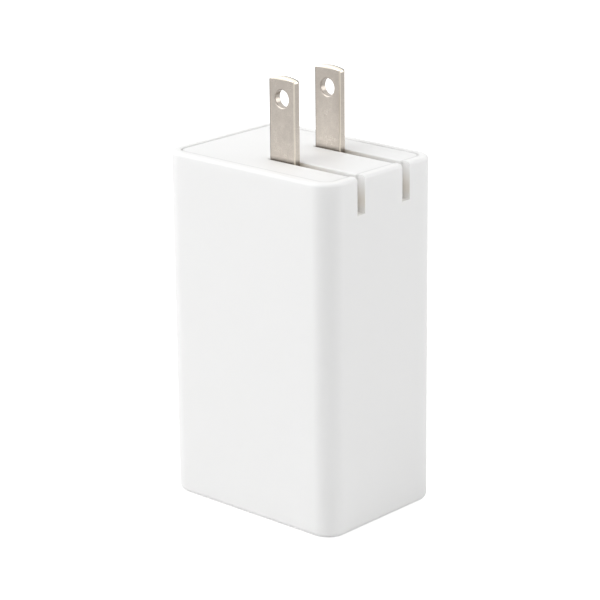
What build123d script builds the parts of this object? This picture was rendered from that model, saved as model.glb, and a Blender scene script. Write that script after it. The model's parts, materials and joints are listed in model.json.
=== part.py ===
from build123d import *
import os

# A folding-prong wall charger with three ports.  Millimetres; it stands on its
# port end, so +Z runs towards the prongs, X is the wide way across the body and
# the prongs fold over towards +X.

# Body
body_width = 42.0
body_depth = 31.0
body_height = 69.0
corner_radius = 4.2
port_edge_radius = 1.1
rim_edge_radius = 0.7
shell_wall = 1.9
port_wall = 2.0

# Cap at the prong end
cap_recess = 0.1
cap_thickness = 1.8
cap_gap = 0.1
ledge_width = 0.8
ledge_height = 1.6
boss_radius = 1.9
pilot_radius = 0.8
pilot_depth = 6.0

# Prongs
blade_width = 6.35
blade_thickness = 1.5
blade_pitch = 12.7
blade_reach = 15.9
blade_lead = 2.6
blade_crown = 0.5
blade_corner = 0.45
blade_bevel = 0.2
tip_hole_radius = 1.75
tip_hole_height = 11.8
tip_hole_bevel = 0.15
shoulder_drop = 1.5
tail_half_width = 1.5
tail_length = 5.5
pivot_hole_radius = 1.0

# Fold: how the folded blade lies in its slot
folded_cover = 0.46
folded_tip_inset = 0.3
slot_side_gap = 0.325
slot_end_gap = 0.15
slot_floor_gap = 0.24
trough_wall = 1.0

# Carrier that holds both blades, and its bearings
hub_radius = 1.7
hub_side = 0.9
cam_reach = 2.9
cam_rounding = 1.2
cam_half_length = 3.0
journal_radius = 1.5
journal_length = 2.2
journal_clearance = 0.05
hub_clearance = 0.2
pocket_clearance = 0.15
sweep_clearance = 0.35
bearing_half_width = 2.8

# Bracket under the carrier, its screws and springs
bracket_thickness = 1.4
bracket_drop = 6.84
bracket_left = 11.6
bracket_right = 11.4
boss_left = 8.6
boss_right = 7.8
screw_radius = 0.78
screw_length = 5.4
screw_head_radius = 1.6
screw_head_height = 1.1
screw_hole_radius = 1.1
spring_strip = 0.4
contact_width = 3.0
contact_gap = 0.05
contact_rise = 2.6
contact_foot = 7.4
contact_tab = 4.5
tab_slot_gap = 0.2
detent_width = 4.4
detent_half_length = 4.2
detent_crown_half = 1.4

# Boards
port_board_height = 11.0
port_board_thickness = 1.2
main_board_thickness = 1.2
main_board_front = 8.6
board_edge_gap = 0.1
board_top_gap = 2.6
rail_reach = 1.5
rail_thickness = 1.15
rail_fit = 0.05
post_size = 2.6
tab_width = 5.0
tab_pitch = 12.0
tab_through = 0.8
tab_fit = 0.1

# Ports
port_pitch = 11.5
port_recess = 0.25
port_fit = 0.12
mouth_bevel = 0.35
c_width = 8.94
c_height = 3.26
c_metal = 0.3
c_tongue_width = 6.6
c_tongue_thickness = 0.7
c_tongue_length = 4.6
c_contact_pitch = 0.5
c_contact_width = 0.25
c_contact_length = 3.4
a_width = 13.14
a_height = 5.72
a_metal = 0.35
a_corner = 0.6
a_tongue_width = 11.0
a_tongue_thickness = 1.84
a_tongue_length = 8.6
a_tongue_side = 0.6
a_contact_pitch = 2.4
a_contact_width = 1.1
a_contact_length = 6.6
insulator_fit = 0.03
contact_thickness = 0.08

# Heat spreading
spreader_thickness = 0.5
sheet_thickness = 0.3
spreader_bottom = port_board_height + port_board_thickness + 1.8
spreader_top_gap = 1.0
spreader_width = 33.0

# Derived planes and places
half_width = body_width / 2
half_depth = body_depth / 2
inner_half_width = half_width - shell_wall
inner_half_depth = half_depth - shell_wall
cap_top = body_height - cap_recess
cap_bottom = cap_top - cap_thickness
cap_half_width = inner_half_width - cap_gap
cap_half_depth = inner_half_depth - cap_gap
pivot_z = cap_top - folded_cover - blade_lead
tip_rise = body_height + blade_reach - pivot_z
pivot_x = half_width - folded_tip_inset - tip_rise
blade_trail = blade_width - blade_lead
blade_y = blade_pitch / 2
slot_width = blade_thickness + 2 * slot_side_gap
slot_floor = pivot_z - blade_trail - slot_floor_gap
slot_start = pivot_x - blade_lead - slot_end_gap
hub_end = blade_y + blade_thickness / 2 + hub_side
bearing_start = hub_end + hub_clearance
bearing_end = hub_end + journal_length
pocket_top = pivot_z + hub_radius + pocket_clearance
tail_sweep = (tail_half_width**2 + tail_length**2) ** 0.5
pocket_start = pivot_x - tail_sweep - sweep_clearance
pocket_end = pivot_x + cam_reach + sweep_clearance
trough_half_width = slot_width / 2 + trough_wall
bracket_top = pivot_z - bracket_drop
bracket_bottom = bracket_top - bracket_thickness
bracket_half_depth = inner_half_depth - ledge_width - 4 * cap_gap
main_board_top = bracket_bottom - board_top_gap
boss_y = blade_y + slot_width / 2 + boss_radius + trough_wall / 2
boss_places = [
    (pivot_x - boss_left, -boss_y),
    (pivot_x - boss_left, boss_y),
    (pivot_x + boss_right, -boss_y),
    (pivot_x + boss_right, boss_y),
]
port_board_top = port_board_height + port_board_thickness
main_board_back = main_board_front + main_board_thickness
board_half_width = inner_half_width - ledge_width - board_edge_gap
port_board_half_depth = inner_half_depth - ledge_width - board_edge_gap
port_places = [(-port_pitch, "c", "left"), (0.0, "c", "middle"), (port_pitch, "a", "right")]
board_front = Plane.XZ.offset(-main_board_front)
board_back = Plane(origin=(0, main_board_back, 0), x_dir=(-1, 0, 0), z_dir=(0, 1, 0))

os.makedirs("parts", exist_ok=True)


def finish(piece, label):
    """Label a finished sub-part and write it under its own name."""
    piece.part.label = label
    export_step(piece.part, f"parts/{label}.step")


def slab(label, low, high):
    """One plain rectangular piece between two opposite corners."""
    size = [end - start for start, end in zip(low, high)]
    with BuildPart() as piece:
        with BuildSketch(Plane.XY.offset(low[2])):
            with Locations(((low[0] + high[0]) / 2, (low[1] + high[1]) / 2)):
                Rectangle(size[0], size[1])
        extrude(amount=size[2])
    finish(piece, label)


def blocks(label, plane, places, size, rounding):
    """Equal rectangular bodies that stand on a plane, with softened sides."""
    with BuildPart() as piece:
        with BuildSketch(plane):
            with Locations(*places):
                RectangleRounded(size[0], size[1], rounding)
        extrude(amount=size[2])
    finish(piece, label)


def cans(label, plane, places, radius, height, rounding):
    """Equal round cans that stand on a plane, with rolled rims."""
    with BuildPart() as piece:
        with BuildSketch(plane):
            with Locations(*places):
                Circle(radius)
        extrude(amount=height)
        rims = piece.faces().filter_by(Plane(origin=(0, 0, 0), z_dir=plane.z_dir)).sort_by(Axis(
            plane.origin, plane.z_dir))[-len(places):]
        fillet(rims.edges(), radius=rounding)
    finish(piece, label)


def port_outline(kind, grow):
    """The outline of a port's metal shell, longest along Y, grown by a margin."""
    if kind == "c":
        SlotOverall(c_width + 2 * grow, c_height + 2 * grow, rotation=90)
    else:
        RectangleRounded(a_height + 2 * grow, a_width + 2 * grow, a_corner + grow)


# Housing shell: tube with an integral port wall, open at the prong end
with BuildPart() as housing_shell:
    with BuildSketch():
        RectangleRounded(body_width, body_depth, corner_radius)
    extrude(amount=body_height)
    fillet(housing_shell.faces().sort_by(Axis.Z)[0].edges(), radius=port_edge_radius)
    fillet(housing_shell.faces().sort_by(Axis.Z)[-1].edges(), radius=rim_edge_radius)
    with BuildSketch(Plane.XY.offset(port_wall)):
        RectangleRounded(2 * inner_half_width, 2 * inner_half_depth, corner_radius - shell_wall)
    extrude(amount=body_height, mode=Mode.SUBTRACT)
    # Ledge that the cap is welded to, left out where the two troughs pass
    with BuildSketch(Plane.XY.offset(cap_bottom - ledge_height)):
        RectangleRounded(2 * inner_half_width, 2 * inner_half_depth, corner_radius - shell_wall)
        Rectangle(
            2 * (inner_half_width - ledge_width),
            2 * (inner_half_depth - ledge_width),
            mode=Mode.SUBTRACT,
        )
        with Locations((inner_half_width, blade_y), (inner_half_width, -blade_y)):
            Rectangle(4 * ledge_width, 2 * (trough_half_width + cap_gap), mode=Mode.SUBTRACT)
    extrude(amount=ledge_height)
    # Rails for the main board and corner posts under the port board
    with BuildSketch(Plane.XY.offset(port_board_top)):
        for rail_y in (
            main_board_front - rail_fit - rail_thickness / 2,
            main_board_back + rail_fit + rail_thickness / 2,
        ):
            for side in (-1, 1):
                with Locations((side * (inner_half_width - rail_reach / 2), rail_y)):
                    Rectangle(rail_reach, rail_thickness)
    extrude(amount=main_board_top - port_board_top)
    with BuildSketch(Plane.XY.offset(port_wall)):
        with GridLocations(2 * inner_half_width - post_size, 2 * inner_half_depth - post_size, 2, 2):
            Rectangle(post_size, post_size)
    extrude(amount=port_board_height - port_wall)
    # Mouths of the ports, and the notches that the folded tips lie in
    for port_x, kind, _ in port_places:
        with BuildSketch(Plane.XY.offset(0).shift_origin((port_x, 0, 0))):
            port_outline(kind, port_fit)
        extrude(amount=port_wall, mode=Mode.SUBTRACT)
        with BuildSketch(Plane.XY.shift_origin((port_x, 0, 0))):
            port_outline(kind, port_fit + mouth_bevel)
        extrude(amount=mouth_bevel, taper=45, mode=Mode.SUBTRACT)
    with BuildSketch(Plane.XY.offset(slot_floor)):
        with Locations((half_width, blade_y), (half_width, -blade_y)):
            Rectangle(4 * shell_wall, slot_width)
    extrude(amount=body_height, mode=Mode.SUBTRACT)
finish(housing_shell, "housing_shell")

# Cap: plate with the two blade slots, their troughs, upper bearings and bosses
with BuildPart() as prong_cap:
    with BuildSketch(Plane.XY.offset(cap_bottom)):
        RectangleRounded(2 * cap_half_width, 2 * cap_half_depth, corner_radius - shell_wall - cap_gap)
    extrude(amount=cap_thickness)
    with BuildSketch(Plane.XY.offset(slot_floor - trough_wall)):
        for side in (-1, 1):
            with Locations(((pocket_end + cap_half_width) / 2, side * blade_y)):
                Rectangle(cap_half_width - pocket_end, 2 * trough_half_width)
    extrude(amount=cap_bottom - slot_floor + trough_wall)
    with BuildSketch(Plane.XY.offset(pivot_z)):
        for side in (-1, 1):
            with Locations((pivot_x, side * (bearing_start + bearing_end) / 2)):
                Rectangle(2 * bearing_half_width, bearing_end - bearing_start)
    extrude(amount=cap_bottom - pivot_z)
    with BuildSketch(Plane.XY.offset(bracket_top)):
        with Locations(*boss_places):
            Circle(boss_radius)
    extrude(amount=cap_bottom - bracket_top)
    # Slots and the channels below them
    with BuildSketch(Plane.XY.offset(slot_floor)):
        for side in (-1, 1):
            with Locations(((slot_start + half_width) / 2, side * blade_y)):
                Rectangle(half_width - slot_start, slot_width)
    extrude(amount=body_height, mode=Mode.SUBTRACT)
    # Relief above the carrier, the bearing bores and the screw pilots
    with BuildSketch(Plane.XY.offset(cap_bottom)):
        with Locations(((pocket_start + pocket_end) / 2, 0)):
            Rectangle(pocket_end - pocket_start, 2 * bearing_start)
    extrude(amount=pocket_top - cap_bottom, mode=Mode.SUBTRACT)
    for side in (-1, 1):
        with BuildSketch(Plane.XZ.offset(-side * bearing_start)):
            with Locations((pivot_x, pivot_z)):
                Circle(journal_radius + journal_clearance)
        extrude(amount=-side * (journal_length - hub_clearance), mode=Mode.SUBTRACT)
    with BuildSketch(Plane.XY.offset(bracket_top)):
        with Locations(*boss_places):
            Circle(pilot_radius)
    extrude(amount=pilot_depth, mode=Mode.SUBTRACT)
finish(prong_cap, "prong_cap")


def make_blade(label, side):
    """One flat blade: crowned tip with a hole, shoulders, and a narrow contact tail."""
    top = pivot_z + tip_rise - blade_crown
    left = pivot_x - blade_lead
    right = pivot_x + blade_trail
    shoulder = pivot_z - shoulder_drop
    foot = pivot_z - tail_length
    with BuildPart() as blade:
        with BuildSketch(Plane.XZ.offset(-side * blade_y)):
            with BuildLine():
                Polyline(
                    (left, top),
                    (left, shoulder),
                    (pivot_x - tail_half_width, shoulder),
                    (pivot_x - tail_half_width, foot),
                    (pivot_x + tail_half_width, foot),
                    (pivot_x + tail_half_width, shoulder),
                    (right, shoulder),
                    (right, top),
                )
                ThreePointArc((right, top), ((left + right) / 2, top + blade_crown), (left, top))
            make_face()
        extrude(amount=blade_thickness / 2, both=True)
        tip_corners = blade.edges().filter_by(Axis.Y).group_by(Axis.Z)[-1]
        fillet(tip_corners, radius=blade_corner)
        outline = blade.faces().filter_by(Axis.Y).edges()
        chamfer(outline, length=blade_bevel)
        with BuildSketch(Plane.XZ.offset(-side * blade_y)):
            with Locations(((left + right) / 2, body_height + tip_hole_height)):
                Circle(tip_hole_radius)
            with Locations((pivot_x, pivot_z)):
                Circle(pivot_hole_radius)
        extrude(amount=blade_thickness / 2, both=True, mode=Mode.SUBTRACT)
        rims = blade.edges().filter_by(GeomType.CIRCLE).filter_by(
            lambda edge: abs(edge.radius - tip_hole_radius) < tip_hole_bevel / 10)
        chamfer(rims, length=tip_hole_bevel)
    finish(blade, label)
    return blade.part


blade_left = make_blade("blade_left", -1)
blade_right = make_blade("blade_right", 1)

# Carrier moulded around both blades: hub and heel, detent cam, and two journals
with BuildPart() as prong_carrier:
    with BuildSketch(Plane.XZ):
        with BuildLine():
            Polyline(
                (pivot_x - hub_radius, pivot_z),
                (pivot_x - hub_radius, pivot_z - cam_reach),
                (pivot_x + hub_radius, pivot_z - cam_reach),
                (pivot_x + hub_radius, pivot_z),
            )
            CenterArc((pivot_x, pivot_z), hub_radius, 0, 180)
        make_face()
    extrude(amount=hub_end, both=True)
    with BuildSketch(Plane.XZ):
        with BuildLine():
            Polyline(
                (pivot_x - hub_radius, pivot_z),
                (pivot_x - hub_radius, pivot_z - cam_reach),
                (pivot_x + cam_reach, pivot_z - cam_reach),
                (pivot_x + cam_reach, pivot_z + hub_radius),
                (pivot_x, pivot_z + hub_radius),
            )
            CenterArc((pivot_x, pivot_z), hub_radius, 90, 90)
        make_face()
        fillet(vertices().sort_by_distance((pivot_x + cam_reach, 0, pivot_z - cam_reach))[0],
               radius=cam_rounding)
    extrude(amount=cam_half_length, both=True)
    with BuildSketch(Plane.XZ):
        with Locations((pivot_x, pivot_z)):
            Circle(journal_radius)
    extrude(amount=bearing_end, both=True)
    add(blade_left, mode=Mode.SUBTRACT)
    add(blade_right, mode=Mode.SUBTRACT)
finish(prong_carrier, "prong_carrier")

# Bracket: base plate on the bosses, with two uprights that close the bearings
tab_x = pivot_x + tail_half_width + contact_gap + contact_foot
with BuildPart() as pivot_bracket:
    with BuildSketch(Plane.XY.offset(bracket_bottom)):
        with Locations((pivot_x + (bracket_right - bracket_left) / 2, 0)):
            RectangleRounded(bracket_left + bracket_right, 2 * bracket_half_depth, boss_radius)
    extrude(amount=bracket_thickness)
    with BuildSketch(Plane.XY.offset(bracket_top)):
        for side in (-1, 1):
            with Locations((pivot_x, side * (bearing_start + bearing_end) / 2)):
                Rectangle(2 * bearing_half_width, bearing_end - bearing_start)
    extrude(amount=pivot_z - bracket_top)
    with BuildSketch(Plane.XZ):
        with Locations((pivot_x, pivot_z)):
            Circle(journal_radius + journal_clearance)
    extrude(amount=body_depth, both=True, mode=Mode.SUBTRACT)
    with BuildSketch(Plane.XY.offset(bracket_bottom)):
        with Locations(*boss_places):
            Circle(screw_hole_radius)
        with Locations((tab_x - spring_strip / 2, blade_y), (tab_x - spring_strip / 2, -blade_y)):
            Rectangle(spring_strip + 2 * tab_slot_gap, contact_width + 2 * tab_slot_gap)
    extrude(amount=bracket_thickness, mode=Mode.SUBTRACT)
finish(pivot_bracket, "pivot_bracket")

# Four pan-head screws that hold the bracket to the bosses
with BuildPart() as bracket_screws:
    with BuildSketch(Plane.XY.offset(bracket_bottom - screw_head_height)):
        with Locations(*boss_places):
            Circle(screw_head_radius)
    extrude(amount=screw_head_height)
    fillet(bracket_screws.faces().sort_by(Axis.Z)[:4].edges(), radius=screw_head_height / 3)
    with BuildSketch(Plane.XY.offset(bracket_bottom)):
        with Locations(*boss_places):
            Circle(screw_radius)
    extrude(amount=screw_length)
    with BuildSketch(Plane.XY.offset(bracket_bottom - screw_head_height)):
        with Locations(*boss_places):
            Rectangle(1.6 * screw_radius, screw_head_height / 3)
            Rectangle(screw_head_height / 3, 1.6 * screw_radius)
    extrude(amount=screw_head_height / 2, mode=Mode.SUBTRACT)
finish(bracket_screws, "bracket_screws")

# Contact springs: the deployed tails press on them, and folding frees them
for label, side in (("contact_spring_left", -1), ("contact_spring_right", 1)):
    riser_x = pivot_x + tail_half_width + contact_gap
    with BuildPart() as contact_spring:
        with BuildSketch(Plane.XZ.offset(-side * blade_y)):
            with BuildLine():
                Polyline(
                    (riser_x, bracket_top),
                    (riser_x, bracket_top + contact_rise),
                    (riser_x + spring_strip, bracket_top + contact_rise),
                    (riser_x + spring_strip, bracket_top + spring_strip),
                    (tab_x, bracket_top + spring_strip),
                    (tab_x, bracket_top - contact_tab),
                    (tab_x - spring_strip, bracket_top - contact_tab),
                    (tab_x - spring_strip, bracket_top),
                    close=True,
                )
            make_face()
        extrude(amount=contact_width / 2, both=True)
    finish(contact_spring, label)

# Detent spring: an arched strip that presses on the cam's flats
detent_crown = pivot_z - cam_reach - contact_gap
with BuildPart() as detent_spring:
    with BuildSketch(Plane.XZ):
        with BuildLine():
            Polyline(
                (pivot_x - detent_half_length, bracket_top),
                (pivot_x - detent_crown_half, detent_crown),
                (pivot_x + detent_crown_half, detent_crown),
                (pivot_x + detent_half_length, bracket_top),
                (pivot_x + detent_half_length - 2 * spring_strip, bracket_top),
                (pivot_x + detent_crown_half - spring_strip / 2, detent_crown - spring_strip),
                (pivot_x - detent_crown_half + spring_strip / 2, detent_crown - spring_strip),
                (pivot_x - detent_half_length + 2 * spring_strip, bracket_top),
                close=True,
            )
        make_face()
    extrude(amount=detent_width / 2, both=True)
finish(detent_spring, "detent_spring")

# Leads from the contact tabs down and across to the main board
lead_radius = 0.7
lead_bend = 1.5
lead_top = bracket_top - contact_tab + 1.5
lead_z = main_board_top - 2.8
lead_step = 1.2
for label, side in (("lead_wire_left", -1), ("lead_wire_right", 1)):
    start = (tab_x + lead_radius, side * blade_y, lead_top)
    with BuildPart() as lead_wire:
        with BuildLine():
            FilletPolyline(
                start,
                (start[0], start[1], lead_z + side * lead_step),
                (start[0], main_board_front, lead_z + side * lead_step),
                radius=lead_bend if side < 0 else 0.6 * lead_bend,
            )
        with BuildSketch(Plane(origin=start, z_dir=(0, 0, -1))):
            Circle(lead_radius)
        sweep()
    finish(lead_wire, label)

# Port board across the body, with slots for the main board's tabs
tab_places = [-tab_pitch, 0.0, tab_pitch]
with BuildPart() as port_board:
    with BuildSketch(Plane.XY.offset(port_board_height)):
        RectangleRounded(2 * board_half_width, 2 * port_board_half_depth, corner_radius - shell_wall)
        with Locations(*[(x, (main_board_front + main_board_back) / 2) for x in tab_places]):
            Rectangle(tab_width + 2 * tab_fit, main_board_thickness + 2 * tab_fit, mode=Mode.SUBTRACT)
    extrude(amount=port_board_thickness)
finish(port_board, "port_board")

# Main board between its rails, standing on the port board by three tabs
with BuildPart() as main_board:
    with BuildSketch(board_front):
        with Locations((0, (port_board_top + main_board_top) / 2)):
            Rectangle(2 * board_half_width, main_board_top - port_board_top)
        with Locations(*[(x, port_board_top - (port_board_thickness + tab_through) / 2) for x in tab_places]):
            Rectangle(tab_width, port_board_thickness + tab_through)
    extrude(amount=-main_board_thickness)
finish(main_board, "main_board")

# Transformer: two core halves that clasp a bobbin, its winding and its tape
core_width = 19.0
core_length = 17.0
core_x = core_width / 2 + 0.7 - board_half_width
core_z = port_board_top + 16.3
core_height = 20.0
core_back = 3.2
core_leg = 3.0
core_post_radius = 3.6
bobbin_wall = 0.8
bobbin_radius = 6.0
core_fit = 0.05
tape_thickness = 0.2
core_middle = main_board_front - core_height / 2
for label, near in (("transformer_core_rear", True), ("transformer_core_front", False)):
    outer_y = main_board_front if near else main_board_front - core_height
    inward = -1 if near else 1
    outer_plane = Plane.XZ.offset(-outer_y)
    with BuildPart() as core_half:
        with BuildSketch(outer_plane):
            with Locations((core_x, core_z)):
                Rectangle(core_width, core_length)
        extrude(amount=-inward * core_back)
        with BuildSketch(outer_plane):
            with Locations((core_x, core_z)):
                Circle(core_post_radius)
            with Locations(
                (core_x - (core_width - core_leg) / 2, core_z),
                (core_x + (core_width - core_leg) / 2, core_z),
            ):
                Rectangle(core_leg, core_length)
        extrude(amount=-inward * core_height / 2)
    finish(core_half, label)

window = core_height - 2 * core_back
window_radius = core_width / 2 - core_leg - core_fit
window_plane = Plane.XZ.offset(-(main_board_front - core_back - core_fit))
flange_plane = Plane.XZ.offset(-(main_board_front - core_height + core_back + core_fit + bobbin_wall))
with BuildPart() as transformer_bobbin:
    for plane in (window_plane, flange_plane):
        with BuildSketch(plane):
            with Locations((core_x, core_z)):
                Circle(window_radius)
        extrude(amount=bobbin_wall)
    with BuildSketch(window_plane):
        with Locations((core_x, core_z)):
            Circle(core_post_radius + core_fit + bobbin_wall)
    extrude(amount=window - 2 * core_fit)
    with BuildSketch(window_plane):
        with Locations((core_x, core_z)):
            Circle(core_post_radius + core_fit)
    extrude(amount=window - 2 * core_fit, mode=Mode.SUBTRACT)
finish(transformer_bobbin, "transformer_bobbin")


def ring(label, plane, place, outer, inner, length):
    """A plain hollow cylinder that stands on a plane."""
    with BuildPart() as piece:
        with BuildSketch(plane):
            with Locations(place):
                Circle(outer)
                Circle(inner, mode=Mode.SUBTRACT)
        extrude(amount=length)
    finish(piece, label)


winding_plane = window_plane.offset(bobbin_wall + core_fit)
winding_length = window - 2 * bobbin_wall - 4 * core_fit
winding_inner = core_post_radius + bobbin_wall + 2 * core_fit
winding_outer = window_radius - tape_thickness - 2 * core_fit
ring("transformer_winding", winding_plane, (core_x, core_z), winding_outer, winding_inner, winding_length)
ring(
    "transformer_tape",
    winding_plane,
    (core_x, core_z),
    window_radius - core_fit,
    winding_outer + core_fit,
    winding_length,
)

# Riser board for the secondary side, square to the main board, and its chip
riser_gap = 1.5
riser_thickness = 0.8
riser_reach = 12.4
riser_x_left = core_x + core_width / 2 + riser_gap
riser_low = core_z - core_length / 2
riser_high = core_z + core_length / 2
slab(
    "riser_board",
    (riser_x_left, main_board_front - riser_reach, riser_low),
    (riser_x_left + riser_thickness, main_board_front, riser_high),
)
riser_face = Plane(origin=(riser_x_left + riser_thickness, 0, 0), x_dir=(0, 1, 0), z_dir=(1, 0, 0))
blocks("secondary_controller", riser_face, [(2.0, core_z + 2.5)], (4.0, 4.0, 0.9), 0.1)

# Parts on the front of the main board; places are (x, z) on the board
bulk_radius = 4.9
bulk_height = 20.0
bulk_side_gap = 0.8
bulk_x = board_half_width - bulk_radius - bulk_side_gap
bulk_low = port_board_top + 10.0
bulk_high = main_board_top - 11.2
bulk_places = [(bulk_x, bulk_low), (bulk_x, (bulk_low + bulk_high) / 2), (bulk_x, bulk_high)]
cans("bulk_capacitors", board_front, bulk_places, bulk_radius, bulk_height, 0.6)
output_radius = 2.7
output_pitch = 6.6
output_x = output_radius + 0.7 - board_half_width
output_z = port_board_top + 3.4
output_places = [(output_x + index * output_pitch, output_z) for index in range(3)]
cans("output_capacitors", board_front, output_places, output_radius, 9.0, 0.4)
line_side_z = main_board_top - 8.4
choke_x = 7.0 - board_half_width
filter_x = choke_x + 9.8
fuse_x = core_x + core_width / 2 + 3.4
blocks("line_filter_capacitor", board_front, [(filter_x, line_side_z - 0.4)], (6.2, 12.6, 11.0), 0.5)
blocks("safety_capacitor", board_front, [(fuse_x - 0.3, output_z)], (3.2, 5.6, 6.5), 1.4)
cans("line_fuse", board_front, [(fuse_x, line_side_z - 5.4)], 1.75, 8.5, 0.3)
blocks("inrush_thermistor", board_front, [(fuse_x, line_side_z + 1.0)], (3.0, 7.0, 7.5), 1.2)

# Common-mode choke: ring core on its base, with a winding on each side
choke_z = line_side_z
choke_outer = 5.6
choke_inner = 2.9
choke_length = 6.0
choke_base_height = 1.6
wire_build = 0.8
blocks("choke_base", board_front, [(choke_x, choke_z)], (12.6, 13.4, choke_base_height), 1.0)
choke_plane = board_front.offset(choke_base_height + wire_build)
ring("choke_core", choke_plane, (choke_x, choke_z), choke_outer, choke_inner, choke_length)
with BuildPart() as choke_windings:
    with BuildSketch(choke_plane.offset(-wire_build)):
        with Locations((choke_x, choke_z)):
            Circle(choke_outer + wire_build)
            Circle(choke_inner - wire_build, mode=Mode.SUBTRACT)
            Rectangle(4.0, 4 * choke_outer, mode=Mode.SUBTRACT)
    extrude(amount=choke_length + 2 * wire_build)
    with BuildSketch(choke_plane):
        with Locations((choke_x, choke_z)):
            Circle(choke_outer)
            Circle(choke_inner, mode=Mode.SUBTRACT)
    extrude(amount=choke_length, mode=Mode.SUBTRACT)
finish(choke_windings, "choke_windings")

# Flat parts on the back of the main board; places are seen from behind
switch_size = 8.0
switch_height = 0.9
blocks("bridge_rectifier", board_back, [(-2.0, line_side_z + 0.4)], (8.2, 6.4, 1.5), 0.2)
blocks("power_switch", board_back, [(-core_x, core_z + 4.5)], (switch_size, switch_size, switch_height), 0.2)
blocks("primary_controller", board_back, [(-4.0, core_z + 5.5)], (4.9, 3.9, 1.5), 0.2)
blocks("isolating_coupler", board_back, [(0.0, core_z - 3.5)], (4.6, 6.5, 2.1), 0.2)
blocks("synchronous_rectifier", board_back, [(-core_x, core_z - 10.5)], (5.0, 6.0, 1.0), 0.2)
with BuildPart() as chip_parts:
    with BuildSketch(board_back):
        with Locations((-12.0, core_z + 1.5)):
            with GridLocations(3.0, 3.2, 3, 5):
                Rectangle(1.6, 0.8)
        with Locations((14.8, core_z - 4.5)):
            with GridLocations(2.6, 3.2, 2, 4):
                Rectangle(2.0, 1.2)
    extrude(amount=0.6)
finish(chip_parts, "chip_parts")

# Converters for the ports, on top of the port board
port_board_plane = Plane.XY.offset(port_board_top)
blocks("output_inductors", port_board_plane, [(-11.5, -8.0), (-1.5, -8.0), (8.5, -8.0)], (6.8, 6.8, 4.0), 0.6)
blocks("port_controllers", port_board_plane, [(-11.5, -2.6), (-1.5, -2.6), (8.5, -2.6)], (3.2, 3.2, 0.75), 0.1)

# Ports: metal shells, insulators with their tongues, and contact strips
port_length = port_board_height - port_recess
for port_x, kind, place in port_places:
    metal = c_metal if kind == "c" else a_metal
    mouth = Plane.XY.offset(port_recess).shift_origin((port_x, 0, port_recess))
    back = Plane.XY.shift_origin((port_x, 0, 0)).offset(port_board_height)
    tongue_length = c_tongue_length if kind == "c" else a_tongue_length
    tongue_width = c_tongue_width if kind == "c" else a_tongue_width
    tongue_thickness = c_tongue_thickness if kind == "c" else a_tongue_thickness
    tongue_x = 0.0 if kind == "c" else a_tongue_side
    with BuildPart() as port_shell:
        with BuildSketch(mouth):
            port_outline(kind, 0)
        extrude(amount=port_length)
        with BuildSketch(mouth):
            port_outline(kind, -metal)
        extrude(amount=port_length, mode=Mode.SUBTRACT)
    finish(port_shell, f"port_shell_{place}")
    with BuildPart() as insulator:
        with BuildSketch(back):
            port_outline(kind, -metal - insulator_fit)
        extrude(amount=-(port_length - tongue_length - 2 * metal))
        with BuildSketch(back):
            with Locations((tongue_x, 0)):
                Rectangle(tongue_thickness, tongue_width)
        extrude(amount=-(port_length - 2 * metal))
    finish(insulator, f"port_insulator_{place}")
    with BuildPart() as contacts:
        tongue_faces = (-1, 1) if kind == "c" else (-1,)
        pitch = c_contact_pitch if kind == "c" else a_contact_pitch
        count = 12 if kind == "c" else 4
        width = c_contact_width if kind == "c" else a_contact_width
        length = c_contact_length if kind == "c" else a_contact_length
        with BuildSketch(mouth.offset(4 * metal)):
            for face in tongue_faces:
                face_x = tongue_x + face * (tongue_thickness + contact_thickness) / 2
                with Locations((face_x, 0)):
                    with GridLocations(contact_thickness, pitch, 1, count):
                        Rectangle(contact_thickness, width)
        extrude(amount=length)
    finish(contacts, f"port_contacts_{place}")

# Heat spreaders against the two wide walls, insulating sheets and thermal pads
spreader_top = main_board_top - spreader_top_gap
for label, side in (("front", -1), ("rear", 1)):
    wall = side * inner_half_depth
    inside = wall - side * spreader_thickness
    sheet = inside - side * sheet_thickness
    half = spreader_width / 2
    slab(
        f"heat_spreader_{label}",
        (-half, min(wall, inside), spreader_bottom),
        (half, max(wall, inside), spreader_top),
    )
    slab(
        f"insulating_sheet_{label}",
        (-half, min(inside, sheet), spreader_bottom),
        (half, max(inside, sheet), spreader_top),
    )
pad_front = -(inner_half_depth - spreader_thickness - sheet_thickness)
slab(
    "thermal_pad_front",
    (core_x - core_width / 2, pad_front, core_z - core_length / 2),
    (core_x + core_width / 2, main_board_front - core_height, core_z + core_length / 2),
)
slab(
    "thermal_pad_rear",
    (core_x - switch_size / 2, main_board_back + switch_height, core_z + 4.5 - switch_size / 2),
    (core_x + switch_size / 2, -pad_front, core_z + 4.5 + switch_size / 2),
)
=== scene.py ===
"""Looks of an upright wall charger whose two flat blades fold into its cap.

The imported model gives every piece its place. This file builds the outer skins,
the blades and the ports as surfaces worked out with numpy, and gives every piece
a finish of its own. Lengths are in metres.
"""

from __future__ import annotations

import json
import logging
import math
from dataclasses import dataclass
from enum import Enum
from typing import Any, Iterable, Sequence

import bpy
import numpy as np
from mathutils import Matrix, Vector
from mathutils.geometry import delaunay_2d_cdt

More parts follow.
